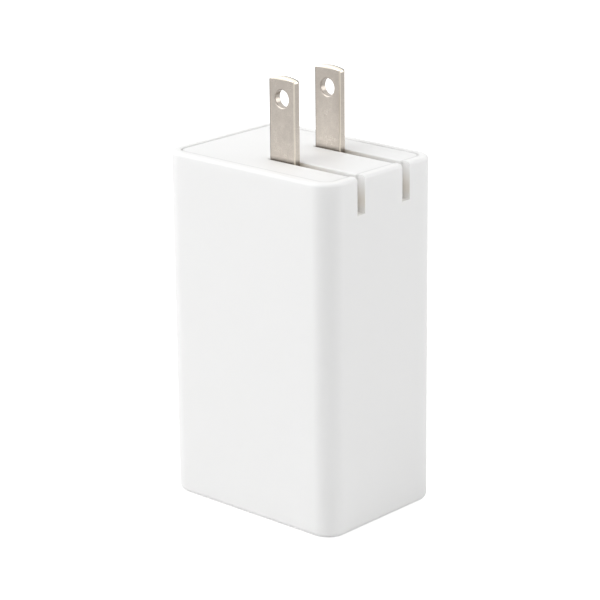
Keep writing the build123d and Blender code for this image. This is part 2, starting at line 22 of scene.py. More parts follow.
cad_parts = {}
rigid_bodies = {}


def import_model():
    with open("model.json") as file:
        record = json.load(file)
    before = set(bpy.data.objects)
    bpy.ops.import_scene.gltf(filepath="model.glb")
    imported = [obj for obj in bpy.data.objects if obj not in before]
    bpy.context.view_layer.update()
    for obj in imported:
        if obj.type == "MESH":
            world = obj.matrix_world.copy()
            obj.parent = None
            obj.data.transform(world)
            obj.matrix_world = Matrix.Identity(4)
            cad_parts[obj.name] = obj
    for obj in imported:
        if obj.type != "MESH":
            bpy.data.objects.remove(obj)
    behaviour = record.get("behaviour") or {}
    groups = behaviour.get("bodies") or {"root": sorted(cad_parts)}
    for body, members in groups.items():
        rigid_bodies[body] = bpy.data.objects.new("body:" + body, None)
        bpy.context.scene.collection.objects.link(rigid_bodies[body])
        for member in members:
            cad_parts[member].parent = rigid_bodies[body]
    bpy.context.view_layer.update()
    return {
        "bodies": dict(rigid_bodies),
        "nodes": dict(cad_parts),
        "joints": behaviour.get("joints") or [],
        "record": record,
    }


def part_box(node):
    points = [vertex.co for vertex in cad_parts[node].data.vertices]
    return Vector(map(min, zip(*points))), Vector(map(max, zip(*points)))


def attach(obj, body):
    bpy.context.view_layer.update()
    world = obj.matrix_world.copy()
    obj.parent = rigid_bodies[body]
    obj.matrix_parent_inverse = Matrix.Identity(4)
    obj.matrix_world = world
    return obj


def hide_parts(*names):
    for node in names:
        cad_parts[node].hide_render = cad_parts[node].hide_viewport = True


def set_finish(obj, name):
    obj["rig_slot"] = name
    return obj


LOG = logging.getLogger("charger")
MM = 0.001
HOUSING = "housing"
PRONGS = "prongs"
WELD_REACH = 1e-7
# In the triangulation's own units, which are millimetres
SAME_POINT = 1e-6
HAIR = 1e-6
FLAT_FACE_LEAD = 80
WHITE = (1.0, 1.0, 1.0)
BLACK = (0.0, 0.0, 0.0)
COAT_ROUGHNESS = 0.08
GLOW_REACH = 1.4 * MM
# In millimetres, as all the places that a finish reads are
SHADE_FREE_LIP = 0.3


# ---------------------------------------------------------------- outlines


class Facing(Enum):
    """The plane that an outline is drawn in, and the way it is carried."""

    UP = "up"
    ACROSS = "across"
    ALONG = "along"


def place(flat: np.ndarray, height: np.ndarray, facing: Facing) -> np.ndarray:
    """Lift points of an outline into space.

    Args:
        flat: Points (n, 2) in the outline's own plane.
        height: How far each point stands off that plane (n,).
        facing: UP reads (x, y) and lifts along Z, ACROSS reads (x, z) and
            lifts along Y, ALONG reads (y, z) and lifts along X.

    Returns:
        Points (n, 3).
    """
    first, second = flat[:, 0], flat[:, 1]
    if facing is Facing.UP:
        return np.column_stack((first, second, height))
    if facing is Facing.ACROSS:
        return np.column_stack((first, height, second))
    return np.column_stack((height, first, second))


def arc(centre: Sequence[float], radius: float, start: float, end: float, steps: int) -> np.ndarray:
    """Points on a circle: centre plus radius times (cos, sin) of evenly spaced angles.

    Args:
        centre: Centre of the circle.
        radius: Its radius.
        start: First angle in degrees.
        end: Last angle in degrees.
        steps: Number of steps between them.

    Returns:
        Points (steps + 1, 2).
    """
    angles = np.radians(np.linspace(start, end, steps + 1))
    return np.asarray(centre) + radius * np.column_stack((np.cos(angles), np.sin(angles)))


def rounded_box(
    width: float,
    depth: float,
    radius: float,
    centre: Sequence[float] = (0.0, 0.0),
    steps: int = 12,
) -> np.ndarray:
    """A rectangle with round corners, anticlockwise: four quarter circles joined by its sides.

    Args:
        width: Size along the first axis.
        depth: Size along the second axis.
        radius: Corner radius.
        centre: Middle of the rectangle.
        steps: Steps in each corner.

    Returns:
        Points (4 * (steps + 1), 2).
    """
    reach = np.array((width / 2 - radius, depth / 2 - radius))
    corners = ((1, 1, 0), (-1, 1, 90), (-1, -1, 180), (1, -1, 270))
    return np.vstack([
        arc(np.asarray(centre) + reach * (sx, sy), radius, start, start + 90, steps)
        for sx, sy, start in corners
    ])


def inset(loop: np.ndarray, distance: float) -> np.ndarray:
    """Move a closed anticlockwise outline inwards by an even distance.

    Each corner moves along the mitre of its two sides: the sum of their outward
    normals over one plus their scalar product, times the distance.

    Args:
        loop: Points (n, 2), anticlockwise.
        distance: Inward distance; a negative one grows the outline.

    Returns:
        The moved points (n, 2).
    """
    side = np.roll(loop, -1, axis=0) - loop
    side /= np.linalg.norm(side, axis=1, keepdims=True)
    after = np.column_stack((side[:, 1], -side[:, 0]))
    before = np.roll(after, 1, axis=0)
    share = 1.0 + np.sum(before * after, axis=1, keepdims=True)
    return loop - distance * (before + after) / share


def rounded_foot(radius: float, low: float, steps: int) -> np.ndarray:
    """Side profile of a wall's rounded lower edge, as (inset, height) pairs.

    The edge is a quarter circle: inset r(1 - sin a), height r(1 - cos a) from the face.

    Args:
        radius: Rounding of the edge.
        low: Height of the lower face.
        steps: Steps in the quarter.

    Returns:
        Pairs (steps + 1, 2), from the face up.
    """
    angle = np.linspace(0.0, np.pi / 2, steps + 1)
    return np.column_stack((radius * (1 - np.sin(angle)), low + radius * (1 - np.cos(angle))))


def rounded_head(radius: float, high: float, steps: int) -> np.ndarray:
    """Side profile of a wall's rounded upper edge: the lower one's mirror image.

    Args:
        radius: Rounding of the edge.
        high: Height of the upper face.
        steps: Steps in the quarter.

    Returns:
        Pairs (steps + 1, 2), up to the face.
    """
    return rounded_foot(radius, -high, steps)[::-1] * (1, -1)


def round_edge(radius: float, low: float, high: float, steps: int = 3) -> np.ndarray:
    """Side profile of a wall with both edges rounded, as (inset, height) pairs.

    Args:
        radius: Rounding of both edges.
        low: Height of the lower face.
        high: Height of the upper face.
        steps: Steps in each quarter.

    Returns:
        Pairs (2 * steps + 2, 2), from the lower face to the upper one.
    """
    return np.vstack((rounded_foot(radius, low, steps), rounded_head(radius, high, steps)))


# ------------------------------------------------------------------ meshes


class Shape:
    """Vertices and faces gathered from several surfaces into one mesh."""

    def __init__(self) -> None:
        """Start with nothing."""
        self.points: list[np.ndarray] = []
        self.faces: list[tuple[int, ...]] = []
        self.count = 0

    def add(self, points: np.ndarray, faces: Iterable[Sequence[int]]) -> None:
        """Add a surface.

        Args:
            points: Its vertices (n, 3).
            faces: Its faces, as rows of vertex numbers that start at 0.
        """
        shift = self.count
        self.points.append(np.asarray(points, float))
        self.faces.extend(tuple(int(i) + shift for i in face) for face in faces)
        self.count += len(points)

    def skin(
        self,
        loop: np.ndarray,
        profile: np.ndarray,
        facing: Facing = Facing.UP,
        flip: bool = False,
    ) -> None:
        """Carry an outline through a profile of insets and heights.

        The surface is P(u, v) = outline(u) moved in by inset(v), at height(v).

        Args:
            loop: The outline (n, 2), anticlockwise.
            profile: Rows of (inset, height).
            facing: Plane of the outline.
            flip: Turn the faces round.
        """
        rings = [place(inset(loop, d), np.full(len(loop), h), facing) for d, h in profile]
        faces = grid_faces(len(profile), len(loop), self._turned(facing, flip))
        self.add(np.vstack(rings), faces)

    def fill(
        self,
        outer: np.ndarray,
        holes: Sequence[np.ndarray],
        height: float,
        facing: Facing = Facing.UP,
        flip: bool = False,
    ) -> None:
        """Close a flat face between an outline and its holes.

        Args:
            outer: The outline (n, 2), anticlockwise.
            holes: Outlines of the holes.
            height: Where the face stands.
            facing: Plane of the outline.
            flip: Face the other way.
        """
        loops = [outer, *holes]
        flat = np.vstack(loops)
        starts = np.cumsum([0] + [len(loop) for loop in loops])
        edges = [
            (int(start + i), int(start + (i + 1) % len(loop)))
            for start, loop in zip(starts, loops)
            for i in range(len(loop))
        ]
        # Scaled up, because the triangulation works to a fixed small distance
        points, _, triangles, *_ = delaunay_2d_cdt(
            [Vector((x, y)) for x, y in flat / MM], edges, [], 0, SAME_POINT
        )
        flat = np.array([tuple(point) for point in points]) * MM
        faces = np.array(triangles, int)
        centres = flat[faces].mean(axis=1)
        keep = inside(centres, outer)
        for hole in holes:
            keep &= ~inside(centres, hole)
        faces = faces[keep]
        corner = flat[faces]
        first, second = corner[:, 1] - corner[:, 0], corner[:, 2] - corner[:, 0]
        clockwise = first[:, 0] * second[:, 1] - first[:, 1] * second[:, 0] < 0
        faces[clockwise] = faces[clockwise][:, ::-1]
        if self._turned(facing, flip):
            faces = faces[:, ::-1]
        self.add(place(flat, np.full(len(flat), height), facing), faces)

    def slab(
        self,
        loop: np.ndarray,
        low: float,
        high: float,
        edge: float = 0.0,
        facing: Facing = Facing.UP,
        holes: Sequence[np.ndarray] = (),
    ) -> None:
        """A solid of even thickness with rounded edges.

        Args:
            loop: Its outline (n, 2), anticlockwise.
            low: Its lower face.
            high: Its upper face.
            edge: Rounding of its edges.
            facing: Plane of the outline.
            holes: Outlines of holes right through it, anticlockwise.
        """
        profile = round_edge(edge, low, high) if edge > 0 else np.array(((0.0, low), (0.0, high)))
        self.skin(loop, profile, facing)
        for hole in holes:
            self.skin(hole, profile * (-1, 1), facing, flip=True)
        bored = [inset(hole, -edge) for hole in holes]
        self.fill(inset(loop, edge), bored, low, facing, flip=True)
        self.fill(inset(loop, edge), bored, high, facing)

    @staticmethod
    def _turned(facing: Facing, flip: bool) -> bool:
        """ACROSS reads its plane left-handed, so its faces turn the other way."""
        return flip != (facing is Facing.ACROSS)

    def object(self, name: str, body: str, smooth: float = 35.0) -> bpy.types.Object:
        """Make the gathered surfaces one object that rides on a body.

        Args:
            name: Name of the piece.
            body: Name of the body that carries it.
            smooth: Edges sharper than this angle in degrees stay sharp.

        Returns:
            The new object, at the origin.
        """
        mesh = bpy.data.meshes.new(name)
        mesh.from_pydata(np.vstack(self.points).tolist(), [], self.faces)
        mesh.update()
        mesh.polygons.foreach_set("use_smooth", np.ones(len(mesh.polygons), bool))
        piece = bpy.data.objects.new(name, mesh)
        bpy.context.scene.collection.objects.link(piece)
        weld = piece.modifiers.new("weld", "WELD")
        weld.merge_threshold = WELD_REACH
        graph = bpy.context.evaluated_depsgraph_get()
        welded = bpy.data.meshes.new_from_object(piece.evaluated_get(graph))
        piece.modifiers.remove(weld)
        piece.data = welded
        bpy.data.meshes.remove(mesh)
        welded.name = name
        welded.set_sharp_from_angle(angle=math.radians(smooth))
        weighted = piece.modifiers.new("flat_faces_lead", "WEIGHTED_NORMAL")
        weighted.keep_sharp = True
        weighted.weight = FLAT_FACE_LEAD
        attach(piece, body)
        LOG.info("%s: %d faces on %s", name, len(welded.polygons), body)
        return piece


def grid_faces(rows: int, columns: int, flip: bool) -> np.ndarray:
    """Quads of a grid of vertices, row by row; the last column joins the first.

    Args:
        rows: Number of rows.
        columns: Vertices in a row.
        flip: Turn the faces round.

    Returns:
        Faces (n, 4).
    """
    row = np.arange(rows - 1)[:, None] * columns
    column = np.arange(columns)[None, :]
    beside = (column + 1) % columns
    corners = (row + column, row + beside, row + beside + columns, row + column + columns)
    quads = np.stack(corners, axis=-1).reshape(-1, 4)
    return quads[:, ::-1] if flip else quads


def inside(points: np.ndarray, loop: np.ndarray) -> np.ndarray:
    """Whether points lie inside an outline, by how often a ray along the first axis crosses it.

    Args:
        points: Points (n, 2).
        loop: Outline (m, 2).

    Returns:
        Booleans (n,).
    """
    start, end = loop, np.roll(loop, -1, axis=0)
    x, y = points[:, 0, None], points[:, 1, None]
    straddles = (start[:, 1] > y) != (end[:, 1] > y)
    rise = np.where(start[:, 1] == end[:, 1], 1.0, end[:, 1] - start[:, 1])
    crossing = start[:, 0] + (y - start[:, 1]) * (end[:, 0] - start[:, 0]) / rise
    return np.sum(straddles & (x < crossing), axis=1) % 2 == 1


def box_loop(low: Sequence[float], high: Sequence[float]) -> np.ndarray:
    """A plain rectangle between two corners, anticlockwise."""
    (left, foot), (right, head) = low, high
    return np.array(((left, foot), (right, foot), (right, head), (left, head)), float)


# ----------------------------------------------------------------- finishes


class Value:
    """A shader socket that is used in sums as a number is."""

    def __init__(self, maker: "Nodes", socket: bpy.types.NodeSocket) -> None:
        """Wrap a socket.

        Args:
            maker: The node maker that the socket belongs to.
            socket: An output socket.
        """
        self.maker = maker
        self.socket = socket

    def _math(self, operation: str, first: Any, second: Any = 0.0) -> "Value":
        """One Math node with two inputs."""
        return self.maker.node("ShaderNodeMath", {"operation": operation}, {0: first, 1: second})

    def __add__(self, other: Any) -> "Value":
        """The sum."""
        return self._math("ADD", self, other)

    def __radd__(self, other: Any) -> "Value":
        """The sum, with the number first."""
        return self._math("ADD", other, self)

    def __sub__(self, other: Any) -> "Value":
        """The difference."""
        return self._math("SUBTRACT", self, other)

    def __rsub__(self, other: Any) -> "Value":
        """The difference, with the number first."""
        return self._math("SUBTRACT", other, self)

    def __mul__(self, other: Any) -> "Value":
        """The product."""
        return self._math("MULTIPLY", self, other)

    def __rmul__(self, other: Any) -> "Value":
        """The product, with the number first."""
        return self._math("MULTIPLY", other, self)

    def __pow__(self, other: Any) -> "Value":
        """The power."""
        return self._math("POWER", self, other)

    def above(self, limit: float) -> "Value":
        """1 where the value is over the limit, else 0."""
        return self._math("GREATER_THAN", self, limit)

    def below(self, limit: float) -> "Value":
        """1 where the value is under the limit, else 0."""
        return self._math("LESS_THAN", self, limit)

    def repeat(self, length: float) -> "Value":
        """How far the value is into its present stretch of that length."""
        return self._math("FLOORED_MODULO", self, length)

    def size(self) -> "Value":
        """The value without its sign."""
        return self._math("ABSOLUTE", self)

    def side(self) -> "Value":
        """The sign of the value, 1 or -1."""
        return self._math("SIGN", self)

    def turn_from(self, other: "Value") -> "Value":
        """The angle at which this value and another, as two sides, point from the second one."""
        return self._math("ARCTAN2", self, other)


class Nodes:
    """Makes the nodes of one material or world."""

    def __init__(self, tree: bpy.types.NodeTree) -> None:
        """Empty a node tree and keep it."""
        self.tree = tree
        tree.nodes.clear()

    def node(
        self,
        kind: str,
        settings: dict[str, Any] | None = None,
        inputs: dict[Any, Any] | None = None,
        output: Any = 0,
    ) -> Value:
        """Add a node.

        Args:
            kind: The node's type.
            settings: Its properties, set before its sockets.
            inputs: Values or links for its sockets, by name or number.
            output: The output to hand back, by name or number.

        Returns:
            The chosen output.
        """
        made = self.tree.nodes.new(kind)
        for key, value in (settings or {}).items():
            setattr(made, key, value)
        for key, value in (inputs or {}).items():
            socket = made.inputs[key]
            if isinstance(value, Value):
                self.tree.links.new(value.socket, socket)
            elif isinstance(value, tuple) and len(value) == 3 and socket.type == "RGBA":
                socket.default_value = (*value, 1.0)
            else:
                socket.default_value = value
        return Value(self, made.outputs[output] if len(made.outputs) else None)

    def place_on(self, stretch: Sequence[float] = (1.0, 1.0, 1.0)) -> Value:
        """Object coordinates in millimetres, stretched along each axis.

        Args:
            stretch: Factor along each axis.

        Returns:
            The coordinates.
        """
        source = self.node("ShaderNodeTexCoord", output="Object")
        scale = tuple(share / MM for share in stretch)
        return self.node("ShaderNodeMapping", {}, {"Vector": source, "Scale": scale})

    def parts(self, vector: Value) -> tuple[Value, Value, Value]:
        """The three parts of a vector.

        Args:
            vector: A vector or a colour.

        Returns:
            Its parts, in order.
        """
        split = self.node("ShaderNodeSeparateXYZ", {}, {0: vector})
        outputs = split.socket.node.outputs
        return tuple(Value(self, outputs[i]) for i in range(3))

    def noise(
        self, vector: Value, scale: float, detail: float = 2.0, roughness: float = 0.5
    ) -> Value:
        """Noise about 0.5, with that many lumps to a millimetre."""
        inputs = {"Vector": vector, "Scale": scale, "Detail": detail, "Roughness": roughness}
        return self.node("ShaderNodeTexNoise", {}, inputs)

    def blend(self, factor: Any, first: Any, second: Any) -> Value:
        """Colour between two colours."""
        inputs = {0: factor, 6: first, 7: second}
        return self.node("ShaderNodeMix", {"data_type": "RGBA"}, inputs, output=2)

    def fade(self, value: Value, whole: float, gone: float) -> Value:
        """1 at one place and 0 at another, with a soft start and end between them."""
        inputs = {"Value": value, "From Min": gone, "From Max": whole}
        return self.node("ShaderNodeMapRange", {"interpolation_type": "SMOOTHSTEP"}, inputs)

    def larger(self, first: Any, second: Any) -> Value:
        """The larger of two values."""
        return self.node("ShaderNodeMath", {"operation": "MAXIMUM"}, {0: first, 1: second})

    def off_round_box(
        self, x: Value, y: Value, half_x: float, half_y: float, radius: float
    ) -> Value:
        """Distance from the outline of a rectangle with round corners, less than 0 inside it.

        It is the length of what |x| and |y| have beyond the corner's centre, less the radius.

        Args:
            x: First place.
            y: Second place.
            half_x: Half the rectangle's size along the first axis.
            half_y: The same along the second.
            radius: Radius of its corners.

        Returns:
            The distance.
        """
        beyond_x = self.larger(x.size() - (half_x - radius), 0.0)
        beyond_y = self.larger(y.size() - (half_y - radius), 0.0)
        return (beyond_x * beyond_x + beyond_y * beyond_y) ** 0.5 - radius

    def seen(self) -> Value:
        """1 for rays that the camera sends, straight, by a mirror or through glass.

        Returns:
            1 for such a ray, else 0.
        """
        kinds = ("Is Camera Ray", "Is Glossy Ray", "Is Transmission Ray")
        camera, mirror, glass = (self.node("ShaderNodeLightPath", output=kind) for kind in kinds)
        return self.larger(self.larger(camera, mirror), glass)

    def bump(self, height: Value, distance: float) -> Value:
        """A normal roughened by a height; distance is the full height in millimetres."""
        inputs = {"Height": height, "Distance": distance * MM, "Strength": 1.0}
        return self.node("ShaderNodeBump", {}, inputs)


Colour = tuple[float, float, float]


def rgb(red: int, green: int, blue: int) -> Colour:
    """A screen colour as linear light.

    Args:
        red: Red, 0 to 255.
        green: Green.
        blue: Blue.

    Returns:
        The three channels, 0 to 1.
    """
    channels = np.array((red, green, blue)) / 255.0
    linear = np.where(channels <= 0.04045, channels / 12.92, ((channels + 0.055) / 1.055) ** 2.4)
    return tuple(float(c) for c in linear)


@dataclass(frozen=True)
class Finish:
    """A surface finish: fine grain in its height, and a slight drift in colour and gloss.

    Attributes:
        name: Name of the material.
        colour: Main colour.
        roughness: Main roughness.
        grain: Lumps of grain to a millimetre.
        grain_height: Height of the grain in millimetres.
        drift: How far the colour drifts, as a share of itself.
        metallic: 1 for bare metal.
        coat: Weight of a clear coat.
        glow_through: How much of the light spreads below the surface, by about a millimetre.
    """

    name: str
    colour: Colour
    roughness: float
    grain: float = 4.0
    grain_height: float = 0.004
    drift: float = 0.03
    metallic: float = 0.0
    coat: float = 0.0
    glow_through: float = 0.0

    def material(self) -> bpy.types.Material:
        """The material of this finish, made once.

        Returns:
            The material, the same one at every call.
        """
        label = f"{self.name}_finish"
        found = bpy.data.materials.get(label)
        if found:
            return found
        made = bpy.data.materials.new(label)
        made.use_nodes = True
        nodes = Nodes(made.node_tree)
        colour, roughness, normal = self.surface(nodes)
        shader = nodes.node(
            "ShaderNodeBsdfPrincipled",
            {},
            {
                "Base Color": colour,
                "Roughness": roughness,
                "Normal": normal,
                "Metallic": self.metallic,
                "Coat Weight": self.coat,
                "Coat Roughness": COAT_ROUGHNESS,
                "Subsurface Weight": self.glow_through,
                "Subsurface Radius": WHITE,
                "Subsurface Scale": GLOW_REACH,
            },
        )
        nodes.node("ShaderNodeOutputMaterial", {}, {"Surface": shader})
        made.diffuse_color = (*self.colour, 1.0)
        return made

    def darker(self, share: float) -> Colour:
        """The main colour, less a share of itself."""
        return tuple(c * (1.0 - share) for c in self.colour)

    def surface(self, nodes: Nodes) -> tuple[Value, Value, Value]:
        """Colour, roughness and normal over the surface.

        Args:
            nodes: Maker of the material's nodes.

        Returns:
            The three values that vary over the surface.
        """
        at = nodes.place_on()
        cloud = nodes.noise(at, 0.35)
        grain = nodes.noise(at, self.grain, 3.0, 0.6)
        colour = nodes.blend(cloud, self.colour, self.darker(2 * self.drift))
        roughness = self.roughness + (grain - 0.5) * 0.08 + (cloud - 0.5) * 0.06
        return colour, roughness, nodes.bump(grain, self.grain_height)

    def dress(self, piece: bpy.types.Object) -> None:
        """Give a piece this finish and no other."""
        piece.data.materials.clear()
        piece.data.materials.append(self.material())


@dataclass(frozen=True)
class MouldedShell(Finish):
    """Satin moulded plastic: a fine even spark-eroded texture with faint flow in its gloss.

    The slots that the blades sweep get a warm painted shade and are a little dull, most of all low
    down.

    Attributes:
        slot_place: Distance of each slot's middle from the middle of the body, in millimetres.
        slot_half: Half the slot's width.
        slot_span: Where the painted slot shade is whole and where it has faded away, along X.
        slot_rise: The same, up from the slot's floor.
        shade_free_foot: How far up from its floor the painted slot shade is mostly held back.
        play: How far past the slot's own width and floor its colour reaches.
        seam: Half sizes, corner radius and height of the cap's edge, where painted shade lies.
        seam_depth: How far down the cap's edge the painted shade goes.
        seam_shade_reach: Where the painted shade is whole and where it has faded away, off the
            edge.
        rubs_and_slot_shade: Colour of the painted shade in the slots.
    """

    slot_place: float = 0.0
    slot_half: float = 0.0
    slot_span: tuple[float, float] = (0.0, 1.0)
    slot_rise: tuple[float, float] = (0.0, 1.0)
    shade_free_foot: float = 3.0
    play: float = 0.02
    seam: tuple[float, float, float, float] = (1.0, 1.0, 0.5, 1.0)
    seam_depth: float = 0.5
    seam_shade_reach: tuple[float, float] = (0.08, 0.50)
    rubs_and_slot_shade: Colour = rgb(238, 231, 221)

    def surface(self, nodes: Nodes) -> tuple[Value, Value, Value]:
        """Two sizes of fine grain in the height, long soft clouds in the gloss, painted shade in
        the slots and round the cap's edge.

        Args:
            nodes: Maker of the material's nodes.

        Returns:
            Colour, roughness and normal.
        """
        at = nodes.place_on()
        cloud = nodes.noise(nodes.place_on((1.0, 1.0, 0.35)), 0.12, 1.0)
        fine = nodes.noise(at, self.grain, 2.0, 0.55)
        coarse = nodes.noise(at, self.grain * 0.4, 1.0)
        colour = nodes.blend(cloud, self.colour, self.darker(2 * self.drift))
        x, y, z = nodes.parts(at)
        # Painted shade: a warm darker colour inside the slots, strongest near the blades and low
        # down, partly held back just above the slot floor.
        in_slot = (y.size() - self.slot_place).size().below(self.slot_half + self.play)
        in_slot = in_slot * x.above(self.slot_span[0]) * z.above(self.slot_rise[0] - self.play)
        shade_held_back = nodes.fade(z, self.slot_rise[0], self.slot_rise[0] + self.shade_free_foot) * 0.8
        inwards, downwards = nodes.fade(x, *self.slot_span), nodes.fade(z, *self.slot_rise)
        slot_shade = in_slot * (inwards + downwards - inwards * downwards) * (1.0 - shade_held_back)
        colour = nodes.blend(slot_shade, colour, self.rubs_and_slot_shade)
        # Painted shade in the groove round the top of the cap's edge.
        half_x, half_y, corner, height = self.seam
        off_seam = nodes.off_round_box(x, y, half_x, half_y, corner)
        seam_shade = nodes.fade(off_seam.size(), *self.seam_shade_reach) * z.above(height - self.seam_depth)
        colour = nodes.blend(seam_shade * 0.7, colour, self.darker(0.20))
        roughness = self.roughness + (fine - 0.5) * 0.10 + (cloud - 0.5) * 0.05 + slot_shade * 0.08
        return colour, roughness, nodes.bump(fine * 0.7 + coarse * 0.3, self.grain_height)


@dataclass(frozen=True)
class PlatedBlade(Finish):
    """Satin plating on rolled strip: fine lines along the blade, small rubs, and dull patches.

    Attributes:
        spacing: Distance of each blade's middle plane from the middle of the body, in millimetres.
        sides: Where the blade's two long edges are, along X.
        tip: Height of the tip.
        foot: Height of the cap, where the blade comes out of it.
        painted_highlight: Colour of the painted highlight on the front of the tip and on the +X
            bevel.
        bevel_from: Where the bevels begin, off each blade's middle plane.
        lit_edge_width: Width of the painted highlight on the +X bevel.
        shaded_edge_width: Width of the painted shade on the -X bevel.
        crown_depth: How far down the painted highlight reaches on the tip, on its bevels and on its
            face.
        behind: Where the painted shade on the tip's rear part begins and ends, off the middle
            plane.
        behind_depth: How far down that part goes.
        tip_darkening_reach: How far down from the tip the darkening fades away.
        foot_shade_reach: How far up from the cap the painted contact shade fades away.
    """

    spacing: float = 0.0
    sides: tuple[float, float] = (0.0, 1.0)
    tip: float = 0.0
    foot: float = 0.0
    painted_highlight: Colour = rgb(252, 244, 228)
    bevel_from: float = 0.52
    lit_edge_width: float = 0.24
    shaded_edge_width: float = 0.32
    crown_depth: tuple[float, float] = (0.52, 0.95)
    behind: tuple[float, float] = (0.28, 0.74)
    behind_depth: float = 0.80
    tip_darkening_reach: float = 14.0
    foot_shade_reach: float = 0.9

    def surface(self, nodes: Nodes) -> tuple[Value, Value, Value]:
        """Rolled lines along Z, sparse scratches, mottled tone, painted highlights on the tip and
        the +X bevel, and painted shade on the -X bevel, the tip's rear and the foot.

        Args:
            nodes: Maker of the material's nodes.

        Returns:
            Colour, roughness and normal.
        """
        at = nodes.place_on()
        x, y, z = nodes.parts(at)
        off_middle = y - y.side() * self.spacing
        on_bevel = off_middle.size().above(self.bevel_from)
        # Painted highlight on the +X edge's bevel.
        lit_edge = on_bevel * x.above(self.sides[1] - self.lit_edge_width)
        # Painted shade on the -X edge's bevel.
        shaded_edge = on_bevel * x.below(self.sides[0] + self.shaded_edge_width)
        edge_depth, face_depth = self.crown_depth
        at_tip = z.above(self.tip - edge_depth) + z.above(self.tip - face_depth) * (1.0 - on_bevel)
        # Painted highlight on the front part of the tip.
        crown = at_tip * off_middle.below(self.behind[0])
        # Painted shade on the rear part of the tip.
        shaded = z.above(self.tip - self.behind_depth)
        shaded = shaded * off_middle.above(self.behind[0]) * off_middle.below(self.behind[1])
        # Darker towards the tip, and painted contact shade where the blade comes out of the cap.
        tip_darkening_and_foot_shade = nodes.fade(z, self.tip, self.tip - self.tip_darkening_reach) * 0.3
        tip_darkening_and_foot_shade = tip_darkening_and_foot_shade + nodes.fade(z, self.foot, self.foot + self.foot_shade_reach) * 0.9
        rolled = nodes.noise(nodes.place_on((9.0, 9.0, 0.5)), 1.0, 3.0, 0.65)
        rubs_and_slot_shade = nodes.noise(nodes.place_on((5.0, 5.0, 0.16)), 1.0, 1.0)
        scratch = rubs_and_slot_shade.above(0.66) * 0.5
        mottle = nodes.noise(at, 0.6, 4.0, 0.6)
        speck = nodes.noise(at, self.grain, 3.0, 0.7)
        tone = nodes.blend((mottle - 0.5) * 1.8 + 0.4, self.colour, self.darker(0.24))
        colour = nodes.blend((speck - 0.5) * 2.0 + 0.25, tone, self.darker(0.36))
        colour = nodes.blend(shaded_edge * 0.8 + tip_darkening_and_foot_shade, colour, self.darker(0.60))
        colour = nodes.blend(shaded * 0.9, colour, self.darker(0.96))
        colour = nodes.blend(lit_edge * 0.5 + crown * 0.9, colour, self.painted_highlight)
        roughness = self.roughness + (mottle - 0.5) * 0.16 + (rolled - 0.5) * 0.10
        height = rolled * 0.5 + speck * 0.4 - scratch * 0.3
        return colour, roughness, nodes.bump(height, self.grain_height)


@dataclass(frozen=True)
class DrawnSheet(Finish):
    """Thin drawn or stamped sheet metal: fine lines along Z and a few soft dents."""

    def surface(self, nodes: Nodes) -> tuple[Value, Value, Value]:
        """Lines along Z in height and gloss, over slow dents.

        Args:
            nodes: Maker of the material's nodes.

        Returns:
            Colour, roughness and normal.
        """
        lines = nodes.noise(nodes.place_on((12.0, 12.0, 0.8)), 1.0, 2.0, 0.6)
        dents = nodes.noise(nodes.place_on(), 0.5, 1.0)
        colour = nodes.blend(lines, self.colour, self.darker(3 * self.drift))
        roughness = self.roughness + (lines - 0.5) * 0.14 + (dents - 0.5) * 0.08
        return colour, roughness, nodes.bump(lines * 0.4 + dents * 0.6, self.grain_height)


@dataclass(frozen=True)
class BoardLaminate(Finish):
    """Solder mask over copper: patches of parallel raised tracks, with pads between them.

    Attributes:
        track: Colour of the mask over a track.
        pitch: Distance between tracks in millimetres.
        share: How much of the pitch a track takes up.
        patches: Patches of tracks to a millimetre.
        track_height: How far the tracks stand up, in millimetres.
    """

    track: Colour = rgb(28, 112, 66)
    pitch: float = 0.9
    share: float = 0.36
    patches: float = 0.2
    track_height: float = 0.035

    def surface(self, nodes: Nodes) -> tuple[Value, Value, Value]:
        """Square-sided cells choose, by their random tone, which way their tracks run.

        Args:
            nodes: Maker of the material's nodes.

        Returns:
            Colour, roughness and normal.
        """
        at = nodes.place_on()
        x, y, z = nodes.parts(at)
        cells = nodes.node(
            "ShaderNodeTexVoronoi",
            {"distance": "CHEBYCHEV"},
            {"Vector": at, "Scale": self.patches, "Randomness": 0.7},
            output="Color",
        )
        tone, spare, _ = nodes.parts(cells)
        upright = (x + y).repeat(self.pitch).below(self.pitch * self.share)
        level = (z + y).repeat(self.pitch).below(self.pitch * self.share)
        turned = tone.above(0.5)
        bare = spare.above(0.72)
        track = (upright * turned + level * (1.0 - turned)) * (1.0 - bare)
        weave = nodes.noise(at, self.grain, 2.0)
        colour = nodes.blend(track, self.colour, self.track)
        colour = nodes.blend((weave - 0.5) * 0.5 + 0.1, colour, self.darker(0.5))
        roughness = self.roughness + track * -0.08 + (weave - 0.5) * 0.10
        return colour, roughness, nodes.bump(track * 0.8 + weave * 0.1, self.track_height)


